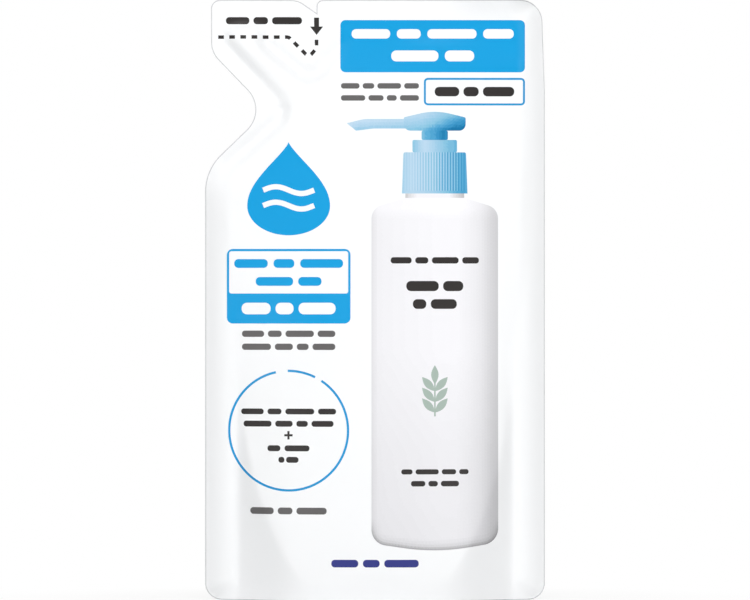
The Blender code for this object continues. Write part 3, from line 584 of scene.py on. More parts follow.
def foot_profile(x, form, at_end):
    """Points (y, z) from the front hem's edge up its inner side, across the gusset and down the back."""
    half_gap, seam, flat, lowest = gusset_section(x, form)
    heights = [seam * row / HEM_ROWS for row in range(HEM_ROWS + 1)]
    front = [(-max(float(form.at(x, z)) - FILM, FILM / 4), z) for z in heights]
    for row in range(1, GUSSET_ROWS + 1):
        t = 1 - row / GUSSET_ROWS
        front.append((-flat - (half_gap - flat) * t, lowest + (seam - lowest) * t * t))
    if at_end:
        front = [(0.0, z) for _, z in front]
    return front + [(0.0, lowest)] + [(-y, z) for y, z in reversed(front)]


# Print: the tear line and its arrow
TEAR_LEFT = 0.0043
TEAR_DROP = 0.0120
TEAR_STRAIGHT = 0.0228
TEAR_DIP = 0.0065
TEAR_RISE = 0.0029
TEAR_TURN_RADIUS = 0.0012
DASH_LENGTH = 0.00185
DASH_PITCH = 0.0036
DASH_WIDTH = 0.00115
ARROW_TOP_DROP = 0.0057
ARROW_NECK_DROP = 0.0086
ARROW_TIP_DROP = 0.0113
ARROW_SHAFT_WIDTH = 0.0016
ARROW_HEAD_WIDTH = 0.0042

# Print: the banner and the framed box under it, from the top right
PRINT_RIGHT_MARGIN = 0.0065
BANNER_WIDTH = 0.0597
BANNER_HEIGHT = 0.0169
BANNER_DROP = 0.0065
BANNER_RADIUS = 0.0016
FRAME_WIDTH = 0.0327
FRAME_HEIGHT = 0.0089
FRAME_DROP = 0.0252
FRAME_RADIUS = 0.0013
FRAME_LINE = 0.00065

# Print: the column on the left, with its drop, label and ring
COLUMN_FROM_LEFT = 0.0271
DROP_TOP_DROP = 0.0460
DROP_WIDTH = 0.0268
DROP_SHOULDER_HEIGHT = 0.0206
DROP_BELLY_HEIGHT = 0.0095
DROP_FLANK_POWER = 1.25
LABEL_WIDTH = 0.0400
LABEL_HEIGHT = 0.0241
LABEL_DROP = 0.0805
LABEL_RADIUS = 0.0019
LABEL_LINE = 0.00075
LABEL_FOOT_HEIGHT = 0.0097
RING_DROP = 0.1391
RING_RADIUS = 0.0196
RING_LINE = 0.00075
RING_GAPS = ((-12.3, -0.8), (26.5, 33.5))

# Print: the picture of a plain pump bottle, from its foot up
BOTTLE_FROM_RIGHT = 0.0357
BOTTLE_FOOT_DROP = 0.1767
BOTTLE_WIDTH = 0.0409
BOTTLE_HEIGHT = 0.1127
BOTTLE_FOOT_RADIUS = 0.0052
BOTTLE_FOOT_BOW = 0.0015
BOTTLE_FOOT_BOW_RADIUS = 0.1400
BOTTLE_SHOULDER_FALL = 0.0034
BOTTLE_SHOULDER_RADIUS = 0.0045
NECK_WIDTH = 0.0190
NECK_HEIGHT = 0.0014
CAP_WIDTH = 0.0212
CAP_TOP_WIDTH = 0.0202
CAP_HEIGHT = 0.0133
CAP_EDGE_RADIUS = 0.0005
CAP_BAND = 0.0009
CAP_RIBS = 24
COLLAR_WIDTH = 0.0144
COLLAR_HEIGHT = 0.0040
STEM_WIDTH = 0.0085
STEM_HEIGHT = 0.0030
HEAD_WIDTH = 0.0200
HEAD_HEIGHT = 0.0055
HEAD_EDGE_HEIGHT = 0.0043
HEAD_FOOT_RADIUS = 0.0026
HEAD_CROWN_RADIUS = 0.0400
NOZZLE_REACH = 0.0184
NOZZLE_TOP = 0.0038
NOZZLE_BOTTOM = 0.0007
NOZZLE_TIP_FALL = 0.0014
NOZZLE_LIP_SETBACK = 0.0030
NOZZLE_BEND_RADIUS = 0.0120
NOZZLE_BEND_SETBACK = 0.0055
STRIP_WIDTH = 0.0009

# Print: rows of plain bars, each row as its width, its height and the gap above it
BANNER_BARS = ((0.0524, 0.0045, 0.0022), (0.0268, 0.0052, 0.0023))
FRAME_BARS = ((0.0257, 0.0045, 0.0022),)
NOTE_BARS = ((0.0252, 0.0026, 0.0013), (0.0252, 0.0026, 0.0013))
NOTE_GAP = 0.0016
LABEL_BARS = ((0.0352, 0.0042, 0.0026), (0.0213, 0.0042, 0.0016))
LABEL_FOOT_BARS = ((0.0304, 0.0055, 0.0021),)
UNDER_LABEL_BARS = ((0.0302, 0.0030, 0.0018), (0.0302, 0.0030, 0.0012))
RING_BARS_RISE = 0.0075
RING_BARS = ((0.0307, 0.0027, 0), (0.0291, 0.0028, 0.0012), (0.0136, 0.0028, 0.0051),
             (0.0065, 0.0028, 0.0009))
RING_PLUS_FALL = 0.0015
RING_PLUS_SIZE = 0.0027
RING_PLUS_LINE = 0.0007
TEAR_BARS = ((0.0246, 0.0034, 0.0050),)
TEAR_BARS_FROM_LEFT = 0.0191
CONTENTS_BARS = ((0.0247, 0.0032, 0.1633),)
BOTTLE_BARS = ((0.0285, 0.0030, 0.0187), (0.0184, 0.0048, 0.0044), (0.0142, 0.0046, 0.0011),
               (0.0217, 0.0024, 0.0505), (0.0155, 0.0026, 0.0013))
FOOT_BARS = ((0.0281, 0.0036, 0.1799),)
BAR_SHARE = 0.68
BAR_LENGTHS = (2.9, 1.8, 3.7, 2.3, 1.5)
BAR_GAP = 0.5
BAR_ROUNDING = 2.2
DROP_WAVE_WIDTH = 0.0165
DROP_WAVE_HEIGHT = 0.0022
DROP_WAVE_LINE = 0.0017
DROP_WAVE_DROPS = (0.0155, 0.0205)

# Print: a small leafy sprig on the bottle
SPRIG_DROP = 0.0540
SPRIG_HEIGHT = 0.0165
SPRIG_LINE = 0.0005
SPRIG_STEM_SHARE = 0.9
SPRIG_FIRST_PAIR = 0.35
LEAF_LENGTH = 0.0062
LEAF_WIDTH = 0.0024
LEAF_PAIRS = 3
LEAF_ANGLE = 42

# Plain colours of the film, its print and the painted shade line along its cut edge, as they show on a
# display from 0 to 255
PLAIN_COLOURS = {
    "film_white": (243, 244, 245),
    # Painted shade: a thin grey line along the cut edge, darker than the white film
    "painted_edge_shade": (203, 204, 206),
    "print_blue": (0, 155, 216),
    "print_line": (16, 146, 206),
    "print_dark": (42, 38, 37),
    "print_grey": (96, 94, 94),
    "print_indigo": (52, 58, 128),
    "print_sage": (164, 180, 171),
}

# Brightness of the printed bottle, across it from left to right and up it from the foot
BOTTLE_LEVELS = 60
BOTTLE_RANGE = (0.26, 0.96)
BOTTLE_ACROSS = ((0.0, 0.76), (0.05, 0.87), (0.10, 0.885), (0.34, 0.915), (0.55, 0.94), (0.67, 0.94),
                 (0.76, 0.90), (0.86, 0.825), (0.91, 0.745), (0.955, 0.66), (1.0, 0.62))
BOTTLE_UP = ((0.0, 0.89), (0.13, 0.92), (0.28, 0.93), (0.36, 0.95), (0.56, 1.0),
             (0.94, 1.0), (0.97, 1.06), (1.0, 1.06))
BOTTLE_WHITE = 0.935
BOTTLE_RIM = ((0.0, 0.42), (0.0005, 0.58), (0.0010, 0.78), (0.0018, 0.90), (0.0035, 1.0))
BOTTLE_RIM_TOP = (0.012, 0.09)
BOTTLE_RIM_LINES = (0.0004, 0.0010, 0.0018)
BOTTLE_LIT_SHARE = 0.8
NECK_SHADE = ((0.0, 0.55), (0.07, 0.72), (0.2, 0.93), (0.75, 0.93), (0.92, 0.62), (1.0, 0.5))
BOTTLE_TINT = (0.985, 0.980, 1.010)

# Blues of the printed pump, from its lit side to its shaded side
PUMP_LEVELS = 24
PUMP_RUN = ((0.0, (202, 220, 233)), (0.15, (183, 210, 230)), (0.3, (170, 204, 226)),
            (0.45, (150, 195, 221)), (0.6, (131, 188, 215)), (0.75, (80, 160, 202)), (0.87, (46, 139, 188)),
            (1.0, (0, 110, 160)))
CAP_TONES = ((0.0, 0.45), (0.05, 0.30), (0.15, 0.22), (0.45, 0.38), (0.75, 0.66), (0.95, 0.80), (1.0, 0.68))
COLLAR_TONES = ((0.0, 0.60), (0.10, 0.42), (0.28, 0.16), (0.45, 0.34), (0.75, 0.62), (1.0, 0.70))
STEM_TONES = ((0.0, 0.62), (0.2, 0.74), (0.5, 0.80), (0.8, 0.96), (1.0, 0.90))
NOZZLE_TONES = ((0.0, 0.08), (0.2, 0.27), (1.0, 0.38))
HEAD_TONES = ((0.0, 0.36), (0.3, 0.42), (0.55, 0.62), (0.8, 0.80), (1.0, 0.88))
PUMP_UP = ((0.0, 0.26), (0.15, 0.18), (0.4, 0.04), (0.65, -0.04), (0.85, -0.16), (1.0, -0.20))
RIB_SHADE = 0.20


def ribbon(path, width):
    """Closed outline of a line of one width drawn along a path."""
    left = []
    right = []
    for i, point in enumerate(path):
        before = path[max(i - 1, 0)]
        after = path[min(i + 1, len(path) - 1)]
        along = (Vector(after) - Vector(before)).normalized() * width / 2
        left.append((point[0] - along.y, point[1] + along.x))
        right.append((point[0] + along.y, point[1] - along.x))
    return left + right[::-1]


def stretch_of(path, start, end):
    """The part of a path between two distances along it."""
    points = []
    walked = 0.0
    for a, b in zip(path, path[1:]):
        length = math.dist(a, b)
        for distance in (start, end):
            if walked <= distance < walked + length:
                t = (distance - walked) / length
                points.append((a[0] + (b[0] - a[0]) * t, a[1] + (b[1] - a[1]) * t))
        if start < walked + length < end:
            points.append(b)
        walked += length
    return points


def bars(x, top, rows, material):
    """Rows of short round-ended bars, one row under another below a height."""
    fields = []
    for number, (width, height, gap) in enumerate(rows):
        top -= gap + height
        lengths = []
        while not lengths or sum(lengths) + BAR_GAP * (len(lengths) - 1) < width / height:
            lengths.append(BAR_LENGTHS[(len(lengths) + 2 * number) % len(BAR_LENGTHS)])
        scale = width / (sum(lengths) + BAR_GAP * (len(lengths) - 1))
        bar_height = BAR_SHARE * height
        left = x - width / 2
        for length in lengths:
            fields.append((material, box_outline(left, top + (height - bar_height) / 2, scale * length,
                                                 bar_height, bar_height / BAR_ROUNDING)))
            left += scale * (length + BAR_GAP)
    return fields


def tear_line_fields():
    """Dashes from the tab's edge, round a dip and up to the notch, and the arrow over it."""
    notch_x = LEFT_EDGE + NOTCH_FROM_LEFT
    line_z = PACK_HEIGHT - TEAR_DROP
    bend_x = LEFT_EDGE + TEAR_LEFT + TEAR_STRAIGHT
    low = (bend_x + TEAR_DIP, line_z - TEAR_DIP, TEAR_TURN_RADIUS)
    path = rounded([(LEFT_EDGE + TEAR_LEFT, line_z, 0), (bend_x, line_z, TEAR_TURN_RADIUS), low,
                    (notch_x, low[1] + TEAR_RISE, TEAR_TURN_RADIUS), (notch_x, line_z, 0)])
    length = sum(math.dist(a, b) for a, b in zip(path, path[1:]))
    fields = bars(LEFT_EDGE + TEAR_BARS_FROM_LEFT, PACK_HEIGHT, TEAR_BARS, "print_dark")
    for k in range(int(length / DASH_PITCH) + 1):
        start = k * DASH_PITCH
        end = min(start + DASH_LENGTH, length - TINY)
        dash = stretch_of(path, start, end)
        if end - start > DASH_LENGTH / 2 and len(dash) > 1:
            fields.append(("print_dark", ribbon(dash, DASH_WIDTH)))
    shaft = (ARROW_SHAFT_WIDTH / 2, PACK_HEIGHT - ARROW_TOP_DROP)
    inner = (ARROW_SHAFT_WIDTH / 2, PACK_HEIGHT - ARROW_NECK_DROP)
    outer = (ARROW_HEAD_WIDTH / 2, PACK_HEIGHT - ARROW_NECK_DROP)
    arrow = [(notch_x, PACK_HEIGHT - ARROW_TIP_DROP)]
    arrow += [(notch_x + dx, z) for dx, z in (outer, inner, shaft)]
    arrow += [(notch_x - dx, z) for dx, z in (shaft, inner, outer)]
    return fields + [("print_dark", arrow)]


def framed_box(left, bottom, width, height, radius, line):
    """A box drawn as a line round a white field."""
    inner = box_outline(left + line, bottom + line, width - 2 * line, height - 2 * line, radius - line)
    return [("print_line", box_outline(left, bottom, width, height, radius)), ("film_white", inner)]


def heading_fields():
    """The banner at the top right, the framed box under it and the small note beside the box."""
    right = RIGHT_EDGE - PRINT_RIGHT_MARGIN
    banner_top = PACK_HEIGHT - BANNER_DROP
    banner = box_outline(right - BANNER_WIDTH, banner_top - BANNER_HEIGHT, BANNER_WIDTH, BANNER_HEIGHT,
                         BANNER_RADIUS)
    frame_top = PACK_HEIGHT - FRAME_DROP
    frame_left = right - FRAME_WIDTH
    box = framed_box(frame_left, frame_top - FRAME_HEIGHT, FRAME_WIDTH, FRAME_HEIGHT, FRAME_RADIUS,
                     FRAME_LINE)
    note_x = frame_left - NOTE_GAP - NOTE_BARS[0][0] / 2
    return ([("print_blue", banner)] + bars(right - BANNER_WIDTH / 2, banner_top, BANNER_BARS, "film_white")
            + box + bars(right - FRAME_WIDTH / 2, frame_top, FRAME_BARS, "print_dark")
            + bars(note_x, frame_top, NOTE_BARS, "print_grey"))


def drop_outline(x, top):
    """A drop of liquid: a flattened round belly and two flanks that meet in a point."""
    half = DROP_WIDTH / 2
    wide_z = top - DROP_SHOULDER_HEIGHT
    belly = []
    for k in range(DROP_BELLY_SIDES + 1):
        angle = math.pi + math.pi * k / DROP_BELLY_SIDES
        belly.append((x + half * math.cos(angle), wide_z + DROP_BELLY_HEIGHT * math.sin(angle)))
    flank = []
    for k in range(1, DROP_FLANK_SIDES):
        t = k / DROP_FLANK_SIDES
        width = half * math.cos(t * math.pi / 2) ** DROP_FLANK_POWER
        flank.append((x + width, wide_z + DROP_SHOULDER_HEIGHT * t))
    mirrored = [(2 * x - px, pz) for px, pz in reversed(flank)]
    return belly + flank + [(x, top)] + mirrored


def wave(x, z):
    """A white wave line across the drop."""
    path = []
    for k in range(WAVE_SIDES + 1):
        t = k / WAVE_SIDES
        rise = DROP_WAVE_HEIGHT / 2 * math.sin(2 * math.pi * t)
        path.append((x + DROP_WAVE_WIDTH * (t - 0.5), z + rise))
    return ("film_white", ribbon(path, DROP_WAVE_LINE))


def ring_fields(x, z):
    """The thin ring, as one curved band between each pair of gaps, with a plus sign and bars inside."""
    fields = []
    for i, gap in enumerate(RING_GAPS):
        following = RING_GAPS[(i + 1) % len(RING_GAPS)]
        start = math.radians(90 - gap[1])
        end = math.radians(90 - following[0])
        if end > start:
            end -= 2 * math.pi
        outer = arc((x, z), RING_RADIUS, start, end)
        inner = arc((x, z), RING_RADIUS - RING_LINE, end, start)
        fields.append(("print_line", outer + inner))
    plus_z = z - RING_PLUS_FALL
    for width, height in ((RING_PLUS_LINE, RING_PLUS_SIZE), (RING_PLUS_SIZE, RING_PLUS_LINE)):
        fields.append(("print_dark", box_outline(x - width / 2, plus_z - height / 2, width, height, 0)))
    return fields + bars(x, z + RING_BARS_RISE, RING_BARS, "print_dark")


def column_fields():
    """The drop, the two-part label, the ring and the contents line, one under the other."""
    x = LEFT_EDGE + COLUMN_FROM_LEFT
    drop_top = PACK_HEIGHT - DROP_TOP_DROP
    drop = [("print_blue", drop_outline(x, drop_top))]
    drop += [wave(x, drop_top - fall) for fall in DROP_WAVE_DROPS]
    label_top = PACK_HEIGHT - LABEL_DROP
    label_z = label_top - LABEL_HEIGHT
    left = x - LABEL_WIDTH / 2
    label = [("print_blue", box_outline(left, label_z, LABEL_WIDTH, LABEL_HEIGHT, LABEL_RADIUS))]
    foot_top = label_z + LABEL_FOOT_HEIGHT
    window = box_outline(left + LABEL_LINE, foot_top, LABEL_WIDTH - 2 * LABEL_LINE,
                         LABEL_HEIGHT - LABEL_FOOT_HEIGHT - LABEL_LINE, LABEL_LINE)
    label.append(("film_white", window))
    label += bars(x, label_top, LABEL_BARS, "print_blue") + bars(x, foot_top, LABEL_FOOT_BARS, "film_white")
    label += bars(x, label_z, UNDER_LABEL_BARS, "print_grey")
    foot = bars(x, PACK_HEIGHT, CONTENTS_BARS, "print_grey") + bars(0, PACK_HEIGHT, FOOT_BARS, "print_indigo")
    return drop + label + ring_fields(x, PACK_HEIGHT - RING_DROP) + foot


# Printed tones: a brightness from 0 to 1 at each place, as the nearest of a run of flat colours
def tone_names(prefix, values, levels):
    """Names of the flat colours nearest to the values, for a whole list of places."""
    numbers = np.clip(np.rint(np.asarray(values) * (levels - 1)), 0, levels - 1).astype(int)
    return np.array(["%s_%02d" % (prefix, number) for number in numbers], dtype=object)


def bottle_paint(centre, foot_z, rim):
    """How the printed bottle is shaded: a light left half, a darker right edge and a dark rim at its foot."""
    def names(x, z):
        across = (x - centre) / BOTTLE_WIDTH + 0.5
        up = (z - foot_z) / BOTTLE_HEIGHT
        tone = BOTTLE_WHITE * np.interp(across, *zip(*BOTTLE_ACROSS)) * np.interp(up, *zip(*BOTTLE_UP))
        from_rim = np.min([np.hypot(x - rim_x, z - rim_z) for rim_x, rim_z in rim], axis=0)
        shade = 1 - np.interp(from_rim, *zip(*BOTTLE_RIM))
        tone = tone * (1 - shade * (1 - eased(up, *BOTTLE_RIM_TOP)))
        return bottle_names(tone)
    return names


def neck_paint(left, width):
    """How the short neck under the cap is shaded: dark at both sides."""
    def names(x, z):
        return bottle_names(BOTTLE_WHITE * np.interp((x - left) / width, *zip(*NECK_SHADE)))
    return names


def bottle_names(tone):
    """Names of the bottle's flat colours for a list of brightnesses."""
    low, high = BOTTLE_RANGE
    return tone_names("bottle", (tone - low) / (high - low), BOTTLE_LEVELS)


def pump_paint(left, right, tones, bottom=None, top=None, ribs=0):
    """How a part of the printed pump is shaded: from its left to its right side, and from a lit top down."""
    def names(x, z):
        across = np.clip((x - left) / (right - left), 0, 1)
        depth = np.interp(across, *zip(*tones))
        if bottom is not None:
            depth = depth + np.interp((z - bottom) / (top - bottom), *zip(*PUMP_UP))
        if ribs:
            side = np.where((np.floor(2 * ribs * across) % 2) == 1, RIB_SHADE, -RIB_SHADE)
            depth = depth + np.sin(math.pi * across) * side
        return tone_names("pump", depth, PUMP_LEVELS)
    return names


def strips(paint, outline, width, start=None, end=None):
    """A field cut into upright strips, so that its tones change along straight lines."""
    left = min(x for x, _ in outline)
    right = max(x for x, _ in outline)
    start = left if start is None else start
    end = right if end is None else end
    count = max(1, round((end - start) / width))
    fields = [(paint, outline)]
    for k in range(count):
        limit = start + (end - start) * k / count
        if limit > left + TINY:
            fields.append((paint, one_side(outline, 0, limit, 1)))
    return fields


def bottle_body(x, foot_z):
    """Outline of the printed bottle without its pump: round foot, straight sides, sloping shoulders."""
    half = BOTTLE_WIDTH / 2
    neck = NECK_WIDTH / 2
    top = foot_z + BOTTLE_HEIGHT
    shoulder_z = top - BOTTLE_SHOULDER_FALL
    return rounded([
        (x - half, foot_z + BOTTLE_FOOT_BOW, BOTTLE_FOOT_RADIUS),
        (x, foot_z - BOTTLE_FOOT_BOW, BOTTLE_FOOT_BOW_RADIUS),
        (x + half, foot_z + BOTTLE_FOOT_BOW, BOTTLE_FOOT_RADIUS),
        (x + half, shoulder_z, BOTTLE_SHOULDER_RADIUS), (x + neck, top, 0),
        (x - neck, top, 0), (x - half, shoulder_z, BOTTLE_SHOULDER_RADIUS)])


def pump_head(x, z):
    """Outline of the pump's head: a round foot, upright edges and a low crown."""
    half = HEAD_WIDTH / 2
    crown_z = z + 2 * HEAD_HEIGHT - HEAD_EDGE_HEIGHT
    return rounded([
        (x - half, z, HEAD_FOOT_RADIUS), (x + half, z, HEAD_FOOT_RADIUS),
        (x + half, z + HEAD_EDGE_HEIGHT, CAP_EDGE_RADIUS), (x, crown_z, HEAD_CROWN_RADIUS),
        (x - half, z + HEAD_EDGE_HEIGHT, CAP_EDGE_RADIUS)])


def pump_nozzle(head_left, z):
    """Outline of the slim nozzle that runs out of the head and bends down to its cut tip."""
    root = head_left + HEAD_FOOT_RADIUS
    tip = head_left - NOZZLE_REACH
    top = z + NOZZLE_TOP
    bottom = z + NOZZLE_BOTTOM
    bend = tip + NOZZLE_BEND_SETBACK
    lip = tip + NOZZLE_LIP_SETBACK
    return rounded([
        (root, bottom, 0), (root, top, 0), (bend, top, NOZZLE_BEND_RADIUS),
        (tip, top - NOZZLE_TIP_FALL, 0), (lip, bottom - NOZZLE_TIP_FALL / 2, 0),
        (lip + NOZZLE_BEND_SETBACK, bottom, NOZZLE_BEND_RADIUS)])


def leaf_outline(x, z, angle):
    """A pointed leaf that grows from a place at an angle from upright, in degrees."""
    along = Vector((math.sin(math.radians(angle)), math.cos(math.radians(angle))))
    across = Vector((along.y, -along.x)) * LEAF_WIDTH / 2
    sides = []
    for k in range(2 * LEAF_SIDES):
        t = k / LEAF_SIDES
        reach = LEAF_LENGTH * min(t, 2 - t)
        sides.append(tuple(Vector((x, z)) + along * reach + across * math.sin(math.pi * t)))
    return sides


def sprig_fields(x, top):
    """A plain leafy sprig: a stem, a leaf on its tip and pairs of leaves below."""
    foot = top - SPRIG_HEIGHT
    stem_top = top - LEAF_LENGTH * SPRIG_STEM_SHARE
    fields = [("print_sage", box_outline(x - SPRIG_LINE / 2, foot, SPRIG_LINE, stem_top - foot, 0)),
              ("print_sage", leaf_outline(x, top - LEAF_LENGTH, 0))]
    for k in range(LEAF_PAIRS):
        z = foot + (SPRIG_HEIGHT - LEAF_LENGTH) * (k + SPRIG_FIRST_PAIR) / LEAF_PAIRS
        for side in (-1, 1):
            fields.append(("print_sage", leaf_outline(x, z, side * LEAF_ANGLE)))
    return fields


def bottle_fields():
    """A plain pump bottle: body, neck, ribbed cap, collar, stem, nozzle and head."""
    x = RIGHT_EDGE - BOTTLE_FROM_RIGHT
    half = BOTTLE_WIDTH / 2
    foot_z = PACK_HEIGHT - BOTTLE_FOOT_DROP
    body = bottle_body(x, foot_z)
    rim = [(px, pz) for px, pz in divided(body, MESH_STEP / 2) if pz < foot_z + half]
    paint = bottle_paint(x, foot_z, rim)
    fields = strips(paint, body, STRIP_WIDTH, x - half, x - half * BOTTLE_LIT_SHARE)
    fields += strips(paint, one_side(body, 0, x, 1), STRIP_WIDTH, x, x + half)
    fields += [(paint, inset(body, distance)) for distance in BOTTLE_RIM_LINES]
    z = foot_z + BOTTLE_HEIGHT
    fields += bars(x, z, BOTTLE_BARS, "print_dark") + sprig_fields(x, z - SPRIG_DROP)
    neck = NECK_WIDTH / 2
    fields += strips(neck_paint(x - neck, NECK_WIDTH), box_outline(x - neck, z, NECK_WIDTH, NECK_HEIGHT, 0),
                     STRIP_WIDTH)
    z += NECK_HEIGHT
    foot = CAP_WIDTH / 2
    top = CAP_TOP_WIDTH / 2
    cap = rounded([(x - foot, z, 0), (x + foot, z, 0), (x + top, z + CAP_HEIGHT, CAP_EDGE_RADIUS),
                   (x - top, z + CAP_HEIGHT, CAP_EDGE_RADIUS)])
    fields += [(pump_paint(x - foot, x + foot, CAP_TONES), cap)]
    ribs = one_side(cap, 1, z + CAP_BAND, 1)
    fields += strips(pump_paint(x - foot, x + foot, CAP_TONES, ribs=CAP_RIBS), ribs,
                     CAP_WIDTH / CAP_RIBS / 2, x - foot, x + foot)
    z += CAP_HEIGHT
    for width, height, tones in ((COLLAR_WIDTH, COLLAR_HEIGHT, COLLAR_TONES),
                                 (STEM_WIDTH, STEM_HEIGHT, STEM_TONES)):
        outline = box_outline(x - width / 2, z, width, height, CAP_EDGE_RADIUS)
        fields += strips(pump_paint(x - width / 2, x + width / 2, tones), outline, STRIP_WIDTH)
        z += height
    head_left = x - HEAD_WIDTH / 2
    nozzle_left = head_left - NOZZLE_REACH
    nozzle_top = z + NOZZLE_TOP
    nozzle = pump_nozzle(head_left, z)
    fields += strips(pump_paint(nozzle_left, head_left, NOZZLE_TONES, z, nozzle_top), nozzle, STRIP_WIDTH)
    head_top = z + HEAD_HEIGHT
    fields += strips(pump_paint(head_left, x + HEAD_WIDTH / 2, HEAD_TONES, z, head_top),
                     pump_head(x, z), STRIP_WIDTH)
    return fields


# Triangles of one film, in its own plane
def foot_columns():
    """Places across the foot, from one fin to the other."""
    return [-CREASE_X + 2 * CREASE_X * i / FOOT_COLUMNS for i in range(FOOT_COLUMNS + 1)]


def foot_grid():
    """Places and lines of the hem and gusset seam, column by column across the foot."""
    per_column = HEM_ROWS + 1
    places = [(x, float(gusset_seam(x)) * row / HEM_ROWS)
              for x in foot_columns() for row in range(per_column)]
    lines = []
    for here in range(len(places)):
        if here % per_column < HEM_ROWS:
            lines.append((here, here + 1))
        if here + per_column < len(places):
            lines.append((here, here + per_column))
    return places, lines


def lattice(outline, contours):
    """Evenly spread places inside the outline that keep clear of every drawn line and the foot."""
    row_step = MESH_STEP * math.sqrt(3) / 2
    rows = math.ceil(PACK_HEIGHT / row_step)
    columns = math.ceil(PACK_WIDTH / MESH_STEP) + 1
    column, row = np.meshgrid(np.arange(columns), np.arange(rows))
    x = (LEFT_EDGE + MESH_STEP * (column + 0.5 * (row % 2))).ravel()
    z = (row_step * (row + 0.5)).ravel()
    keep = inside(x, z, outline)
    keep &= (np.abs(x) > CREASE_X) | (z > gusset_seam(x) + MESH_STEP / 2)
    x = x[keep]
    z = z[keep]
    near = MESH_CLEARANCE
    taken = np.zeros(len(x), dtype=bool)
    for contour in contours + [outline]:
        for i, (bx, bz) in enumerate(contour):
            ax, az = contour[i - 1]
            close = np.nonzero((x > min(ax, bx) - near) & (x < max(ax, bx) + near)
                               & (z > min(az, bz) - near) & (z < max(az, bz) + near))[0]
            if len(close) == 0:
                continue
            taken[close] |= from_piece(x[close], z[close], (ax, az), (bx, bz)) < near
    return list(zip(x[~taken], z[~taken]))


def film_triangles(outline, contours):
    """Triangles (as point numbers) that fill the outline and follow every contour."""
    places = []
    lines = []
    for loop in [outline] + contours:
        first = len(places)
        places += loop
        lines += [(first + i, first + (i + 1) % len(loop)) for i in range(len(loop))]
    foot_places, foot_lines = foot_grid()
    first = len(places)
    places += foot_places
    lines += [(first + a, first + b) for a, b in foot_lines]
    places += lattice(outline, contours)
    flat = [Vector(place) for place in places]
    points, _, faces, origins, _, _ = delaunay_2d_cdt(flat, lines, [], 1, TINY / 10, True)
    points = np.array([tuple(point) for point in points])
    faces = np.array(faces)
    made_from = {source: i for i, sources in enumerate(origins) for source in sources}
    rim = [made_from[i] for i in range(len(outline))]
    middle = points[faces].mean(axis=1)
    faces = faces[inside(middle[:, 0], middle[:, 1], points[rim])]
    return points, faces, rim


# The closed solid
def film_mesh(form, fields):
    """Points, faces, material names and smooth normals of the whole pouch."""
    outline = divided(pack_outline(), MESH_STEP)
    spans = [i for i, (x, z) in enumerate(outline) if z == 0 and abs(x) <= CREASE_X]
    first, last = spans[0], spans[-1]
    columns = foot_columns()
    outline[first:last + 1] = [(x, 0.0) for x in columns]
    last = first + FOOT_COLUMNS

    vertices = []
    normals = []
    faces = []
    materials = []
    rims = []
    seam = divided(one_side(seam_outline(), 1, GUSSET_FOLD_HEIGHT + MESH_STEP / 2, 1), MESH_STEP)
    print_lines = [divided(contour, MESH_STEP) for _, contour in fields]
    for side, contours in ((-1, print_lines + [seam]), (1, [seam])):
        points, triangles, rim = film_triangles(outline, contours)
        x, z = points[:, 0], points[:, 1]
        base = len(vertices)
        vertices += list(zip(x, form.film(side, x, z), z))
        normals += [tuple(normal) for normal in form.normals(side, x, z)]
        rims.append([base + i for i in rim])
        middle = points[triangles].mean(axis=1)
        names = np.full(len(triangles), "film_white", dtype=object)
        if side < 0:
            for paint, contour in fields:
                here = inside(middle[:, 0], middle[:, 1], contour)
                names[here] = paint(middle[here, 0], middle[here, 1]) if callable(paint) else paint
        for triangle, name in zip(triangles, names):
            order = triangle if side < 0 else triangle[::-1]
            faces.append([base + int(i) for i in order])
            materials.append(name)
    smooth_faces = len(faces)

    profiles = []
    for i, x in enumerate(columns):
        profile = foot_profile(x, form, i in (0, FOOT_COLUMNS))
        base = len(vertices)
        vertices += [(x, y, z) for y, z in profile]
        profiles.append(list(range(base, base + len(profile))))

    front, back = rims
    for i in range(len(outline)):
        j = (i + 1) % len(outline)
        if first <= i < last:
            column = profiles[i - first]
            following = profiles[i - first + 1]
            faces.append([front[i], column[0], following[0], front[j]])
            faces.append([column[-1], back[i], back[j], following[-1]])
        elif j == first:
            pocket_end = profiles[0][0]
            faces += [[front[i], back[i], pocket_end], [front[i], pocket_end, front[j]],
                      [pocket_end, back[i], back[j]]]
        elif i == last:
            pocket_end = profiles[-1][0]
            faces += [[front[i], pocket_end, front[j]], [pocket_end, back[j], front[j]],
                      [pocket_end, back[i], back[j]]]
        else:
            faces.append([front[i], back[i], back[j], front[j]])
    for column, following in zip(profiles, profiles[1:]):
        for k in range(len(column) - 1):
            faces.append([column[k], column[k + 1], following[k + 1], following[k]])
    materials += ["film_white"] * (len(faces) - len(materials))
    return vertices, faces, materials, normals, smooth_faces


def welded(vertices, faces, materials, smooth_faces):
    """The mesh with points at the same place joined, and faces that shrink to nothing left out."""
    numbers = {}
    kept = []
    new_number = []
    source = []
    for i, vertex in enumerate(vertices):
        key = tuple(round(value / WELD_REACH) for value in vertex)
        if key not in numbers:
            numbers[key] = len(kept)
            kept.append(vertex)
            source.append(i)
        new_number.append(numbers[key])
    new_faces = []
    new_materials = []
    smooth = []
    for k, (face, material) in enumerate(zip(faces, materials)):
        ring = [new_number[i] for i in face]
        ring = [i for n, i in enumerate(ring) if i != ring[n - 1]]
        if len(set(ring)) > 2:
            new_faces.append(ring)
            new_materials.append(material)
            smooth.append(k < smooth_faces)
    return kept, new_faces, new_materials, source, smooth


# Materials
def linear(colour):
    """A display colour from 0 to 255 as the linear colour that shaders use."""
    shares = [value / 255 for value in colour]
    return tuple(s / 12.92 if s <= 0.04045 else ((s + 0.055) / 1.055) ** 2.4 for s in shares)


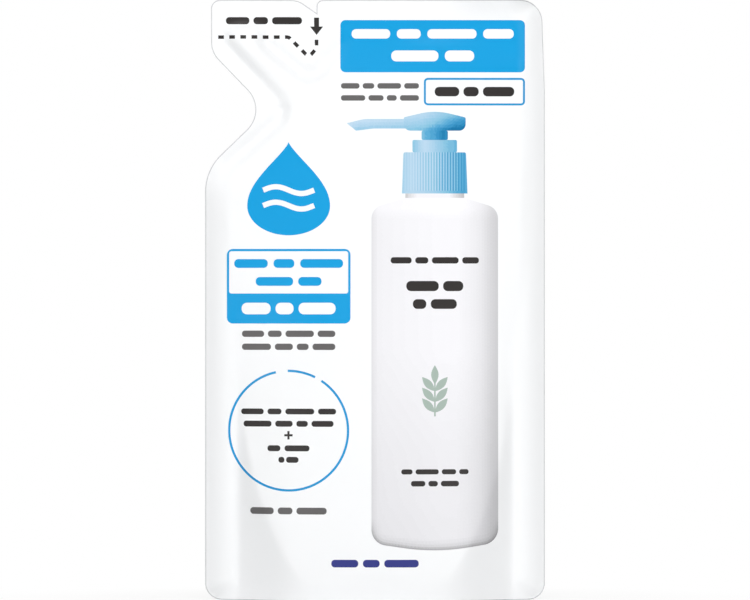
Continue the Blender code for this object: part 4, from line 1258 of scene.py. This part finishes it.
def node(tree, kind, inputs, **settings):
    """A new node with its settings. Each input is linked where it is given a socket, or else set."""
    made = tree.nodes.new(kind)
    for name, value in settings.items():
        setattr(made, name, value)
    for key, value in inputs.items():
        if isinstance(value, bpy.types.NodeSocket):
            tree.links.new(value, made.inputs[key])
        else:
            made.inputs[key].default_value = value
    return made


def film_surface():
    """Node group for the laminate's surface: slightly uneven gloss, a faint grain and soft ripples."""
    group = bpy.data.node_groups.new("film_surface", "ShaderNodeTree")
    group.interface.new_socket("Roughness", in_out="OUTPUT", socket_type="NodeSocketFloat")
    group.interface.new_socket("Normal", in_out="OUTPUT", socket_type="NodeSocketVector")
    place = node(group, "ShaderNodeTexCoord", {}).outputs["Object"]
    cloud, ripple, grain = [
        node(group, "ShaderNodeTexNoise", {"Vector": place, "Scale": scale, "Detail": detail}).outputs["Fac"]
        for scale, detail in ((GLOSS_SCALE, 3), (RIPPLE_SCALE, 2), (GRAIN_SCALE, 1))]
    gloss = node(group, "ShaderNodeMapRange",
                 {"Value": cloud, "To Min": ROUGHNESS[0], "To Max": ROUGHNESS[1]})
    soft = node(group, "ShaderNodeBump", {"Height": ripple, "Distance": RIPPLE_HEIGHT, "Strength": 1.0})
    fine = node(group, "ShaderNodeBump", {"Height": grain, "Distance": GRAIN_HEIGHT, "Strength": 1.0,
                                          "Normal": soft.outputs["Normal"]})
    node(group, "NodeGroupOutput",
         {"Roughness": gloss.outputs["Result"], "Normal": fine.outputs["Normal"]})
    return group


def film_material(name, colour, surface):
    """Satin laminate film in one flat colour."""
    material = bpy.data.materials.new(name)
    material.use_nodes = True
    nodes = material.node_tree.nodes
    shader = nodes["Principled BSDF"]
    shader.inputs["Base Color"].default_value = (*colour, 1)
    shader.inputs["IOR"].default_value = FILM_IOR
    shader.inputs["Specular IOR Level"].default_value = FILM_SPECULAR
    group = nodes.new("ShaderNodeGroup")
    group.node_tree = surface
    material.node_tree.links.new(group.outputs["Roughness"], shader.inputs["Roughness"])
    material.node_tree.links.new(group.outputs["Normal"], shader.inputs["Normal"])
    return material


def film_colours():
    """Every colour of the film by name, as linear red, green and blue."""
    colours = {name: linear(colour) for name, colour in PLAIN_COLOURS.items()}
    low, high = BOTTLE_RANGE
    for k in range(BOTTLE_LEVELS):
        tone = low + (high - low) * k / (BOTTLE_LEVELS - 1)
        colours["bottle_%02d" % k] = tuple(min(tone * tint, 1) for tint in BOTTLE_TINT)
    places = [place for place, _ in PUMP_RUN]
    for k in range(PUMP_LEVELS):
        blend = [np.interp(k / (PUMP_LEVELS - 1), places, [colour[c] for _, colour in PUMP_RUN])
                 for c in range(3)]
        colours["pump_%02d" % k] = linear(blend)
    return colours


def make_pouch():
    """The pouch's film as one closed mesh, with a material for each colour of its print."""
    form = BellyForm()
    edge = pack_outline()
    # A thin grey line of painted shade along the cut edge, then the white film inside it
    fields = [("painted_edge_shade", edge), ("film_white", inset(edge, EDGE_SHADE_WIDTH))]
    fields += tear_line_fields() + heading_fields() + column_fields() + bottle_fields()
    vertices, faces, materials, normals, smooth_faces = film_mesh(form, fields)
    vertices, faces, names, source, smooth = welded(vertices, faces, materials, smooth_faces)
    mesh = bpy.data.meshes.new("pouch_film")
    mesh.from_pydata(vertices, [], faces)
    colours = film_colours()
    surface = film_surface()
    for name, colour in colours.items():
        mesh.materials.append(film_material(name, colour, surface))
    slot_of = {name: i for i, name in enumerate(colours)}
    mesh.polygons.foreach_set("material_index", [slot_of[name] for name in names])
    mesh.shade_smooth()
    mesh.set_sharp_from_angle(angle=math.radians(SHARP_ANGLE))
    loop_normals = []
    for face, is_film in zip(mesh.polygons, smooth):
        for vertex in face.vertices:
            origin = source[vertex]
            usable = is_film and origin < len(normals)
            loop_normals.append(normals[origin] if usable else (0.0, 0.0, 0.0))
    mesh.normals_split_custom_set(loop_normals)
    pouch = bpy.data.objects.new("pouch_film", mesh)
    bpy.context.scene.collection.objects.link(pouch)
    return pouch


pouch = make_pouch()
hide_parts(NODE)
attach(pouch, "root")


# The stage: a pale floor that keeps the pouch's shadow, and white all round it
def placed(name, data):
    """A new object with its data, in the scene."""
    made = bpy.data.objects.new(name, data)
    bpy.context.scene.collection.objects.link(made)
    return made


def seen_directly(tree):
    """1 for what the camera sees, directly or in a reflection, and 0 for light that falls on things."""
    path = node(tree, "ShaderNodeLightPath", {})
    value = path.outputs["Is Camera Ray"]
    for name in ("Is Glossy Ray", "Is Transmission Ray"):
        either = node(tree, "ShaderNodeMath", {0: value, 1: path.outputs[name]}, operation="MAXIMUM")
        value = either.outputs["Value"]
    return value


def floor_material():
    """Matte pale floor that turns into plain white away from the pouch."""
    material = bpy.data.materials.new("floor")
    material.use_nodes = True
    tree = material.node_tree
    matte = tree.nodes["Principled BSDF"]
    matte.inputs["Base Color"].default_value = (*FLOOR_COLOUR, 1)
    matte.inputs["Roughness"].default_value = FLOOR_ROUGHNESS
    white = node(tree, "ShaderNodeEmission", {})
    place = node(tree, "ShaderNodeTexCoord", {})
    far = node(tree, "ShaderNodeVectorMath", {0: place.outputs["Object"]}, operation="LENGTH")
    fade = node(tree, "ShaderNodeMapRange",
                {"Value": far.outputs["Value"], "From Min": FLOOR_FADE[0], "From Max": FLOOR_FADE[1],
                 "To Min": FLOOR_WHITE, "To Max": 1.0}, interpolation_type="SMOOTHSTEP")
    share = node(tree, "ShaderNodeMath", {0: fade.outputs["Result"], 1: seen_directly(tree)},
                 operation="MULTIPLY")
    mix = node(tree, "ShaderNodeMixShader",
               {"Fac": share.outputs["Value"], 1: matte.outputs["BSDF"], 2: white.outputs["Emission"]})
    tree.links.new(mix.outputs["Shader"], tree.nodes["Material Output"].inputs["Surface"])
    return material


def make_floor():
    """A wide plain floor under the pouch."""
    mesh = bpy.data.meshes.new("floor")
    corners = [(x * FLOOR_SIZE / 2, y * FLOOR_SIZE / 2, 0) for x, y in ((-1, -1), (1, -1), (1, 1), (-1, 1))]
    mesh.from_pydata(corners, [], [(0, 1, 2, 3)])
    mesh.materials.append(floor_material())
    placed("floor", mesh)


def make_world():
    """Even light from all round, and plain white wherever the camera or a reflection looks past."""
    world = bpy.data.worlds.new("studio")
    world.use_nodes = True
    tree = world.node_tree
    background = tree.nodes["Background"]
    background.inputs["Color"].default_value = (1, 1, 1, 1)
    strength = node(tree, "ShaderNodeMapRange",
                    {"Value": seen_directly(tree), "To Min": WORLD_LIGHT, "To Max": 1.0})
    tree.links.new(strength.outputs["Result"], background.inputs["Strength"])
    bpy.context.scene.world = world


def area_lamp(name, place, power):
    """A square soft lamp that points at the middle of the pouch."""
    lamp = bpy.data.lights.new(name, "AREA")
    lamp.shape = "SQUARE"
    lamp.size = LAMP_SIZE
    lamp.energy = power
    holder = placed(name, lamp)
    holder.location = place
    aim = Vector((0, 0, PACK_HEIGHT / 2))
    holder.rotation_euler = (aim - Vector(place)).to_track_quat("-Z", "Y").to_euler()


def make_camera():
    """A long lens straight at the front, with the pouch as high as the picture."""
    data = bpy.data.cameras.new("camera")
    data.lens = data.sensor_width * CAMERA_DISTANCE / (PACK_HEIGHT * IMAGE_SHAPE)
    data.clip_end = CAMERA_RANGE
    camera = placed("camera", data)
    camera.location = (0, -CAMERA_DISTANCE, PACK_HEIGHT / 2)
    camera.rotation_euler = (math.radians(90), 0, 0)
    bpy.context.scene.camera = camera


make_floor()
make_world()
for lamp in LAMPS:
    area_lamp(*lamp)
make_camera()
bpy.context.scene.view_settings.view_transform = "Standard"
